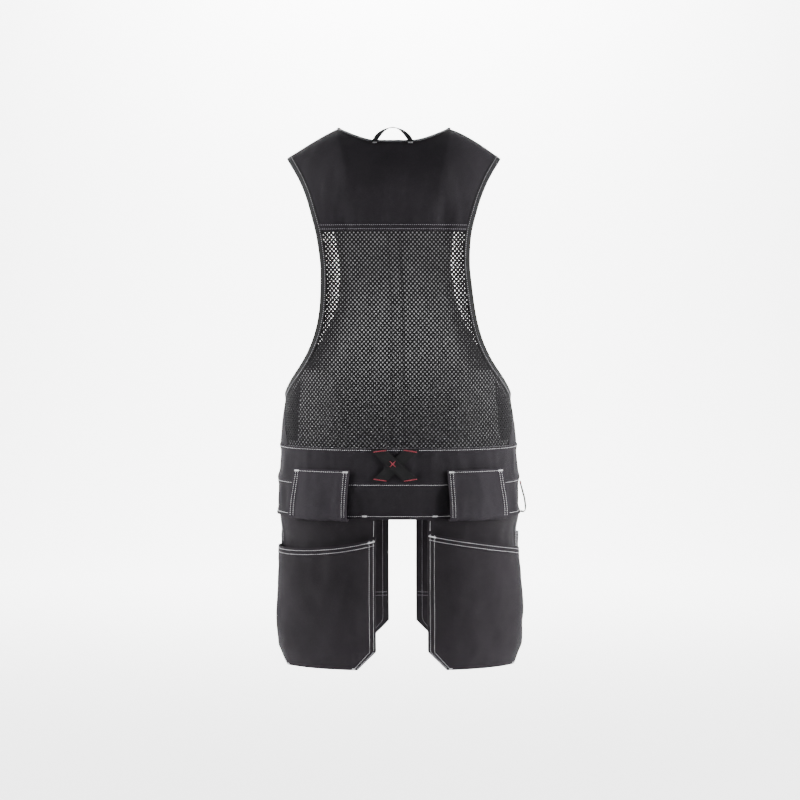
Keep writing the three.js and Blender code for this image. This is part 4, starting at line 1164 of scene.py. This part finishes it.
class VEST_OT_small_loops(bpy.types.Operator):
    """Small loop at the right side seam and the twisted hanging loop at the neck"""

    bl_idname = "vest.small_loops"
    bl_label = "Small loops"

    def execute(self, context):
        sizes = context.scene.vest_sizes
        us = np.linspace(-1, 1, 9)
        along = np.linspace(0, 1, 40)
        down, out = (np.interp(along, *column) for column in PROFILE_COLUMNS)
        z = HEM_Z + 4 + SIDE_LOOP_HEIGHT * (1 - down)
        distance = SIDE_LOOP_PLACE + us[None, :] * SIDE_LOOP_HALF
        grid = off_band(distance, z[:, None] + 0 * us, out[:, None] * SIDE_LOOP_STAND_OFF)
        cloth = Cloth(us, along, grid, 1.4, 0.0)
        cloth.build(
            "side_loop_webbing", finish_named("webbing"), ["side_loop_right"], "webbing",
            rests_on=["waistband_lower"],
        )
        red = Thread(sizes)
        red.tack(cloth.path([-0.9, 0.9], [0.06, 0.06]), 3.6)
        red.build("side_loop_tack", finish_named("red"), "webbing")
        self.hanging_loop(sizes)
        return {"FINISHED"}

    def hanging_loop(self, sizes):
        """Loop of narrow webbing between two feet below the neck tape, turned over once."""
        share = 0.5
        for _ in range(30):
            here = yoke_surface(share, 1.0)
            share += (NECK_HALF - (here[0] - section(here[2])[3])) / 400
        feet = []
        for across in (-36, 32):
            u = across / NECK_HALF * share
            point, beside, below = yoke_surface(u, 1.0), yoke_surface(u + 0.01, 1.0), yoke_surface(u, 0.985)
            normal = unit(np.cross(beside - point, point - below))
            normal *= -1 if normal[1] > 0 else 1
            down = unit(np.array([0, 0, -1]) + normal * normal[2])
            feet.append((point + normal * 2.85, down))
        (start, start_down), (finish, finish_down) = feet
        path = [start + start_down * 9, start + start_down * 4.5]
        steps = 36
        for i in range(steps + 1):
            t = i / steps
            arch = math.sin(math.pi * t) ** 0.75
            path.append(start + (finish - start) * t + np.array([0, 8 * arch, 24 * arch]))
        path += [finish + finish_down * 4.5, finish + finish_down * 9]
        path = np.array(path)
        rows = []
        for i, point in enumerate(path):
            along = unit(path[min(len(path) - 1, i + 1)] - path[max(0, i - 1)])
            t = min(1, max(0, (i - 2) / steps))
            width = np.array([math.cos(math.pi * t), -math.sin(math.pi * t), 0])
            width = unit(width - along * np.dot(width, along))
            rows.append([point + width * reach * 4.5 for reach in np.linspace(-1, 1, 7)])
        grid = np.array(rows)
        cloth = Cloth(np.linspace(-1, 1, 7), np.arange(len(path)), grid, 1.4, 0.0)
        cloth.build("hang_loop_webbing", finish_named("webbing"), ["hang_loop"], "webbing")
        grey = Thread(sizes)
        for foot in (path[0], path[-1]):
            ends = np.array([foot + [-4, -1.6, 2], foot + [4, -1.6, 2]])
            grey.tack((ends, np.array([[0, -1, 0.3]] * 2)), 3.0)
        grey.build("hang_loop_tacks", finish_named("grey"), "webbing")


def tape_frames(points, inside, outward, closed):
    """Directions square to the edge: out of the cloth's face, and into the cloth."""
    if closed:
        before, after = np.roll(points, 1, 0), np.roll(points, -1, 0)
    else:
        before = np.vstack([points[:1], points[:-1]])
        after = np.vstack([points[1:], points[-1:]])
    along = unit(after - before)
    inward = inside - points
    inward = unit(inward - along * np.sum(inward * along, 1, keepdims=True))
    normal = np.cross(along, inward)
    return normal * np.sign(np.sum(normal * outward, 1, keepdims=True)), inward


def smoothed(rows, closed, times=2):
    for _ in range(times):
        if closed:
            rows = rows * 0.5 + (np.roll(rows, 1, 0) + np.roll(rows, -1, 0)) * 0.25
        else:
            rows = np.vstack([rows[:1], rows[1:-1] * 0.5 + (rows[:-2] + rows[2:]) * 0.25, rows[-1:]])
    return rows


def tape_body(points, normal, inward, width, closed, seed):
    """Tape folded over an edge: its outer fold, both faces and lips that lie on the cloth."""
    middle, half, lip = 0.75, 1.25, 2.2
    outline = (
        (lip, middle - half - 0.25), (lip, middle + half + 0.25), (0.0, middle + half + 0.3),
        (-width * 0.5, middle + half + 0.1), (-width * 0.85, middle + half),
        (-width - 0.1, middle + half * 0.55), (-width - SEAM_GAP, middle),
        (-width - 0.1, middle - half * 0.55), (-width * 0.85, middle - half),
        (-width * 0.5, middle - half - 0.1), (0.0, middle - half - 0.3),
    )
    wave = np.array([noise.noise(Vector(point / 11 + out * seed)) for point, out in zip(points, normal)])
    rows = []
    for across, out in outline:
        swell = 0.35 * wave * (1 if across > -width * 0.7 else 0.4)
        rows.append(points + inward * across + normal * (out + np.sign(out - middle) * swell * 0.5)[:, None])
    count, size = len(points), len(outline)
    faces = []
    for s in range(count if closed else count - 1):
        t = (s + 1) % count
        for k in range(size):
            n = (k + 1) % size
            faces.append((s * size + k, t * size + k, t * size + n, s * size + n))
    if not closed:
        faces.append(tuple(range(size)))
        faces.append(tuple(range(count * size - 1, (count - 1) * size - 1, -1)))
    flat = np.stack(rows, 1).reshape(-1, 3)
    return flat, turned_out(flat, faces), size


def lay_tape(name, node, edges, width, closed, seed):
    """Binding along an edge; gives back the edge, out of the cloth and into the cloth."""
    points, inside = (smoothed(np.vstack(rows), closed) for rows in zip(*edges))
    middle = middle_of(points) if closed else np.array([0, 0, NECK_MIDDLE_Z])
    frames = tape_frames(points, inside, points - middle, closed)
    normal, inward = (unit(smoothed(rows, closed, 3)) for rows in frames)
    flat, faces, size = tape_body(points, normal, inward, width, closed, seed)
    finishes, finish_of = [finish_named("tape")], None
    if closed:
        finishes.append(finish_named("wrong"))
        finish_of = [int(k >= size // 2 and out[1] > 0.2) for out in normal for k in range(size)]
    piece = make_piece(name, flat, faces, finishes, [node], finish_of)
    length = np.linalg.norm(np.diff(points, axis=0), axis=1).sum() * MM
    return points, normal, inward


class VEST_OT_binding(bpy.types.Operator):
    """Folded tape round the armholes and the neck, with a stitch line near its inner edge"""

    bl_idname = "vest.binding"
    bl_label = "Binding tape"

    def execute(self, context):
        sizes = context.scene.vest_sizes
        thread, grey = Thread(sizes), Thread(sizes)
        for name, side in (("left", -1), ("right", 1)):
            node = f"armhole_tape_{name}"
            edges = self.armhole_edges(side)
            points, normal, inward = lay_tape(
                f"armhole_binding_{name}", node, edges, TAPE_WIDTH, True, 0.4
            )
            thread.run((points - inward * 0.6 + normal * 2.35, normal), True)
        thread.build("armhole_stitches", finish_named("soft"), "binding_tape")
        points, normal, inward = lay_tape(
            "neck_binding", "neck_tape", self.neck_edges(), NECK_TAPE, False, 0.7
        )
        grey.run((points + inward * 1.3 + normal * 2.7, normal))
        grey.build("neck_stitches", finish_named("grey"), "binding_tape")
        return {"FINISHED"}

    def armhole_edges(self, side):
        """The armhole's edge, from the back of the shoulder round to its front, and a line inside it."""
        net_height = YOKE_SEAM_Z - BAND_TOP_Z - 2 * SEAM_GAP
        front_height = YOKE_SEAM_Z - BAND_TOP_Z - SEAM_GAP
        underarm = (UNDERARM_Z - BAND_TOP_Z - SEAM_GAP) / net_height
        front_top = (UNDERARM_Z + SIDE_PANEL_RISE - BAND_TOP_Z - SEAM_GAP) / front_height

        def both(surface, edge, rise):
            return surface(edge + 0 * rise, rise), surface(edge * 0.95 + 0 * rise, rise)

        def front(share, rise):
            return front_surface(side, share, rise)

        share = np.linspace(0, 1, 24)[1:-1]
        front_rise = np.concatenate([np.linspace(front_top, 1, 50), 1 + np.linspace(0, 1, 32)[1:-1]])
        return [
            both(yoke_surface, side, np.linspace(1, 0, 36)),
            both(net_surface, side, np.linspace(1, underarm, 60)[1:]),
            (side_surface(side, share, 1.0), side_surface(side, share, 0.9)),
            both(front, 1, front_rise),
        ]

    def neck_edges(self):
        """The neck's edge from the right of the zip round to its left, and a line inside it."""

        def share_at(surface):
            low, high = 0.0, 1.0
            for _ in range(40):
                middle = (low + high) / 2
                top = surface(middle)
                inside = abs(top[0] - section(top[2])[3]) < NECK_HALF
                low, high = (middle, high) if inside else (low, middle)
            return low

        back = share_at(lambda u: yoke_surface(u, 1.0))
        front = share_at(lambda u: front_surface(1, u, 2.0))
        run = np.sin(np.linspace(0, 1, 26) * math.pi / 2)
        outward = run[:-1] * front
        behind = np.concatenate([run[::-1] * back, -run[1:] * back])
        return [
            (front_surface(1, outward, 2.0), front_surface(1, outward, 1.93)),
            (yoke_surface(behind, 1.0), yoke_surface(behind, 0.93)),
            (front_surface(-1, outward[::-1], 2.0), front_surface(-1, outward[::-1], 1.93)),
        ]


class VEST_OT_zip(bpy.types.Operator):
    """Closed zip between the front panels"""

    bl_idname = "vest.zip"
    bl_label = "Front zip"

    def execute(self, context):
        us = np.linspace(-1, 1, 25)
        vs = np.linspace(0, 1, 420)
        across = us[None, :] * (ZIP_HALF + ZIP_LAP)
        top = top_edge(us * ZIP_HALF, "front")[None, :] - SEAM_GAP
        z = HEM_Z + (top - HEM_Z) * vs[:, None]
        under = np.clip((NECK_RISE - z) / FRONT_ROUND, 0, 1)
        roll = np.sqrt(1 - (1 - under) ** 2)
        depth = depth_at(across, z, "front") * roll + SEAM_GAP / 2
        grid = np.stack([section(z)[3] + across, depth, z], -1)
        teeth = 0.9 + 0.55 * np.sin(vs * ZIP_TEETH * 2 * math.pi)
        coil = np.exp(-((us * ZIP_HALF / 3.2) ** 4))[None, :] * teeth[:, None]
        cloth = Cloth(us, vs, grid, 1.2 + 1.0 * coil, 1.9)
        cloth.build(
            "front_zip_tape", finish_named("zip"), ["front_zip"], "zip_tape", wrong_side=finish_named("wrong")
        )
        return {"FINISHED"}


class HolsterCut:
    """Outline of one holster from its row of the table, laid round the worn form."""

    def __init__(self, name, face, side, start, width, length, inner, middle, outer):
        self.name = name
        self.face = face
        self.side = side
        self.start = start
        self.width = width
        self.drops = (inner, middle, outer)
        self.top_z = HEM_Z - SEAM_GAP
        self.bottom_z = self.top_z - length
        self.lines = (4.0, 11.0, width - 11.0, width - 4.0)
        self.us = stops(0, width, 5.0, self.lines)

    def place(self, u, z):
        inset = np.clip(CHAMFER - (z - self.bottom_z), 0, CHAMFER)
        distance = self.start + inset + (u / self.width) * (self.width - 2 * inset)
        return round_form(self.side * distance, z, self.face)

    def mouth(self, u):
        """Height of the pocket's top edge."""
        inner, middle, outer = self.drops
        share = u / self.width
        sag = 4 * share * (1 - share) * (middle - (inner + outer) / 2)
        return self.top_z - (inner + (outer - inner) * share) - sag


class VEST_OT_holsters(bpy.types.Operator):
    """Four holsters: a backing that hangs from the hem and a bowed pocket, open at the top"""

    bl_idname = "vest.holsters"
    bl_label = "Holsters"

    def execute(self, context):
        sizes = context.scene.vest_sizes
        for row in HOLSTERS:
            cut, thread = HolsterCut(*row), Thread(sizes)
            self.backing(sizes, thread, cut)
            self.pocket(sizes, thread, cut)
            thread.build(f"holster_{cut.name}_stitches", finish_named("white"))
        return {"FINISHED"}

    def backing(self, sizes, thread, cut):
        us, width, top_z = cut.us, cut.width, cut.top_z
        vs = stops(cut.bottom_z, top_z, 6.0)
        grid = cut.place(us[None, :], vs[:, None] + 0 * us)
        lift = sunk(wrinkled(grid, 3.0, 46, 41.0, 0.6)) * np.clip((top_z - vs) / 30, 0, 1)[:, None]
        lift = lift * np.clip(np.minimum(us, width - us) / 14, 0, 1)[None, :]
        cloth = Cloth(us, vs, grid, 1.9, lift)
        cloth.build(
            f"holster_{cut.name}_backing_cloth", finish_named("pocket"), [f"holster_{cut.name}_backing"],
            rests_on=["waistband_lower"],
        )
        for line, end in ((cut.lines[0], 0.0), (cut.lines[-1], width)):
            thread.run(cloth.path(line, np.linspace(top_z - 2, float(cut.mouth(end)) + 2, 12)))
        if cut.face == "front":
            soft = Thread(sizes)
            for z in INNER_SEAMS:
                soft.run(cloth.path(np.linspace(3, width - 3, 50), z, back=True))
            for line in (12.0, width - 12.0):
                soft.run(cloth.path(line, np.linspace(top_z - 2, cut.bottom_z + 4, 60), back=True))
            soft.build(f"holster_{cut.name}_wrong_side_stitches", finish_named("soft"))

    def pocket(self, sizes, thread, cut):
        """Rows run up the chamfers (v 0 to 1), up the body (to 2) and over the mouth's hem (to 3)."""
        us, width, bottom_z = cut.us, cut.width, cut.bottom_z
        shoulder_z = bottom_z + CHAMFER
        rim = (4.5, 11.5)
        down = stops(0, MOUTH_HEM, 3.0, rim)[::-1]
        chamfer_steps = np.linspace(0, 1, 11)
        body_steps = np.linspace(0, 1, 34)[1:-1]
        vs = np.concatenate([chamfer_steps, 1 + body_steps, 2 + (MOUTH_HEM - down) / MOUTH_HEM])
        edge = cut.mouth(us)[None, :]
        z_rows = [bottom_z + CHAMFER * step + 0 * edge for step in chamfer_steps]
        z_rows += [shoulder_z + (edge - MOUTH_HEM - shoulder_z) * step for step in body_steps]
        z_rows += [edge - drop for drop in down]
        z = np.vstack(z_rows)
        grid = cut.place(us[None, :] + 0 * z, z)
        rise = np.clip((z - bottom_z) / (edge - bottom_z), 0, 1)
        bow = (1 - np.abs(2 * us / width - 1) ** 4)[None, :] * np.interp(rise, *BULGE_COLUMN)
        near_side = np.exp(-((np.minimum(us, width - us) / 8) ** 2))[None, :]
        near_rim = np.exp(-(((edge - z) / 10) ** 2))
        slack = wrinkled(grid, 4.2, 70, 47.0 + cut.side, 0.75) * (1 - near_side) * np.clip(rise * 4, 0, 1)
        slack = slack + wrinkled(grid, 1.0, 24, 57.0 + cut.side, 0.5) * (1 - near_side)
        lift = 2.2 + POCKET_DEPTH * bow + slack
        lift = lift + puckered(grid, np.maximum(near_side, near_rim), 0.8, 8.0, 51.0) * (1 - near_side * 0.6)
        lift = lift + pulled(us, cut.lines, 0.4)[None, :] + pulled(edge - z, rim, 0.4)
        hem = np.where(edge - z < 14.5, sizes.hem_fold, 0.0)
        cloth = Cloth(us, vs, grid, 1.6 + hem, np.maximum(lift, LEAST_POCKET_LIFT))
        cloth.build(
            f"holster_{cut.name}_pocket_cloth", finish_named("pocket"), [f"holster_{cut.name}_pocket"],
            rests_on=[f"holster_{cut.name}_backing"],
        )
        for drop in rim:
            thread.run(cloth.path(np.linspace(2, width - 2, 90), 2 + (MOUTH_HEM - drop) / MOUTH_HEM))
        for line in cut.lines[:2] + cut.lines[3:]:
            thread.run(cloth.path(line, np.linspace(2.98, 1.0, 70)))
            thread.run(cloth.path(line, np.linspace(1.0, 0.04, 16)))
        thread.tack(cloth.path([1.5, 13.5], [2.75, 2.75]), 3.4)
        for place in (13.0, width - 8.0):
            thread.tack(cloth.path([place - 4, place + 4], [0.07, 0.07]), 2.6)


class VEST_OT_stage(bpy.types.Operator):
    """Camera at the photograph's place, soft studio light and a pale floor"""

    bl_idname = "vest.stage"
    bl_label = "Stage"

    def execute(self, context):
        stage = context.scene.vest_stage
        camera = bpy.data.cameras.new("camera")
        camera.lens = stage.focal
        camera.sensor_width = 36
        eye = bpy.data.objects.new("camera", camera)
        context.scene.collection.objects.link(eye)
        eye.location = CAMERA_PLACE
        eye.rotation_euler = (math.radians(90 - CAMERA_TILT), 0, 0)
        camera.clip_end = 100
        context.scene.camera = eye
        rows = []
        profile = [(-FLOOR_HALF, FLOOR_Z), (WALL_Y, FLOOR_Z)]
        for step in range(1, 13):
            turn = math.pi / 2 * step / 12
            out, up = WALL_ROUND * math.sin(turn), WALL_ROUND * (1 - math.cos(turn))
            profile.append((WALL_Y + out, FLOOR_Z + up))
        profile.append((WALL_Y + WALL_ROUND, WALL_TOP))
        for y, z in profile:
            rows.append([(x, y, z) for x in (-FLOOR_HALF, FLOOR_HALF)])
        points = [point for pair in rows for point in pair]
        faces = [(2 * i, 2 * i + 1, 2 * i + 3, 2 * i + 2) for i in range(len(rows) - 1)]
        mesh = bpy.data.meshes.new("floor")
        mesh.from_pydata(points, [], faces)
        mesh.polygons.foreach_set("use_smooth", [True] * len(mesh.polygons))
        floor = bpy.data.objects.new("floor", mesh)
        context.scene.collection.objects.link(floor)
        mesh.materials.append(floor_finish(context.scene.vest_colours.floor))
        self.light("left_softbox", (-2.6, -0.5, 0.1), (0, 0, -0.45), stage.side_light, 2.0)
        self.light("right_softbox", (2.6, -0.55, -0.1), (0, 0, -0.45), stage.side_light * 1.2, 2.0)
        self.light("top_softbox", (0, -1.2, 2.3), (0, 0, -0.3), stage.top_light, 1.8)
        self.light("backdrop_light", (0, 4.6, 2.6), (0, 6.6, 0.2), stage.backdrop, 2.4)
        world = bpy.data.worlds.new("surround")
        world.use_nodes = True
        world.node_tree.nodes["Background"].inputs["Color"].default_value = (1, 1, 1, 1)
        world.node_tree.nodes["Background"].inputs["Strength"].default_value = stage.surround
        context.scene.world = world
        return {"FINISHED"}

    def light(self, name, place, target, power, size):
        lamp = bpy.data.lights.new(name, "AREA")
        lamp.energy = power
        lamp.shape = "SQUARE"
        lamp.size = size
        lamp_object = bpy.data.objects.new(name, lamp)
        bpy.context.scene.collection.objects.link(lamp_object)
        lamp_object.location = place
        aim = Vector(target) - Vector(place)
        lamp_object.rotation_euler = aim.to_track_quat("-Z", "Y").to_euler()


OPERATORS = (
    VEST_OT_stage,
    VEST_OT_yoke,
    VEST_OT_net,
    VEST_OT_panels,
    VEST_OT_waistband,
    VEST_OT_straps,
    VEST_OT_hammer_loops,
    VEST_OT_small_loops,
    VEST_OT_binding,
    VEST_OT_zip,
    VEST_OT_holsters,
)


class VEST_PT_vest(bpy.types.Panel):
    """Sizes, colours and pieces of the vest"""

    bl_label = "Utility Work Vest"
    bl_idname = "VEST_PT_vest"
    bl_space_type = "VIEW_3D"
    bl_region_type = "UI"
    bl_category = "Vest"

    def draw(self, context):
        for group in (context.scene.vest_sizes, context.scene.vest_colours, context.scene.vest_stage):
            for name in group.__annotations__:
                self.layout.prop(group, name)
        for operator in OPERATORS:
            self.layout.operator(operator.bl_idname)


GROUPS = (VestSizes, VestColours, StageSettings)


def register():
    for one in GROUPS + OPERATORS + (VEST_PT_vest,):
        bpy.utils.register_class(one)
    bpy.types.Scene.vest_sizes = PointerProperty(type=VestSizes)
    bpy.types.Scene.vest_colours = PointerProperty(type=VestColours)
    bpy.types.Scene.vest_stage = PointerProperty(type=StageSettings)


def unregister():
    del bpy.types.Scene.vest_stage
    del bpy.types.Scene.vest_colours
    del bpy.types.Scene.vest_sizes
    for one in reversed(GROUPS + OPERATORS + (VEST_PT_vest,)):
        bpy.utils.unregister_class(one)


def main():
    register()
    for operator in OPERATORS:
        group, name = operator.bl_idname.split(".")
        getattr(getattr(bpy.ops, group), name)()


if __name__ == "__main__":
    main()
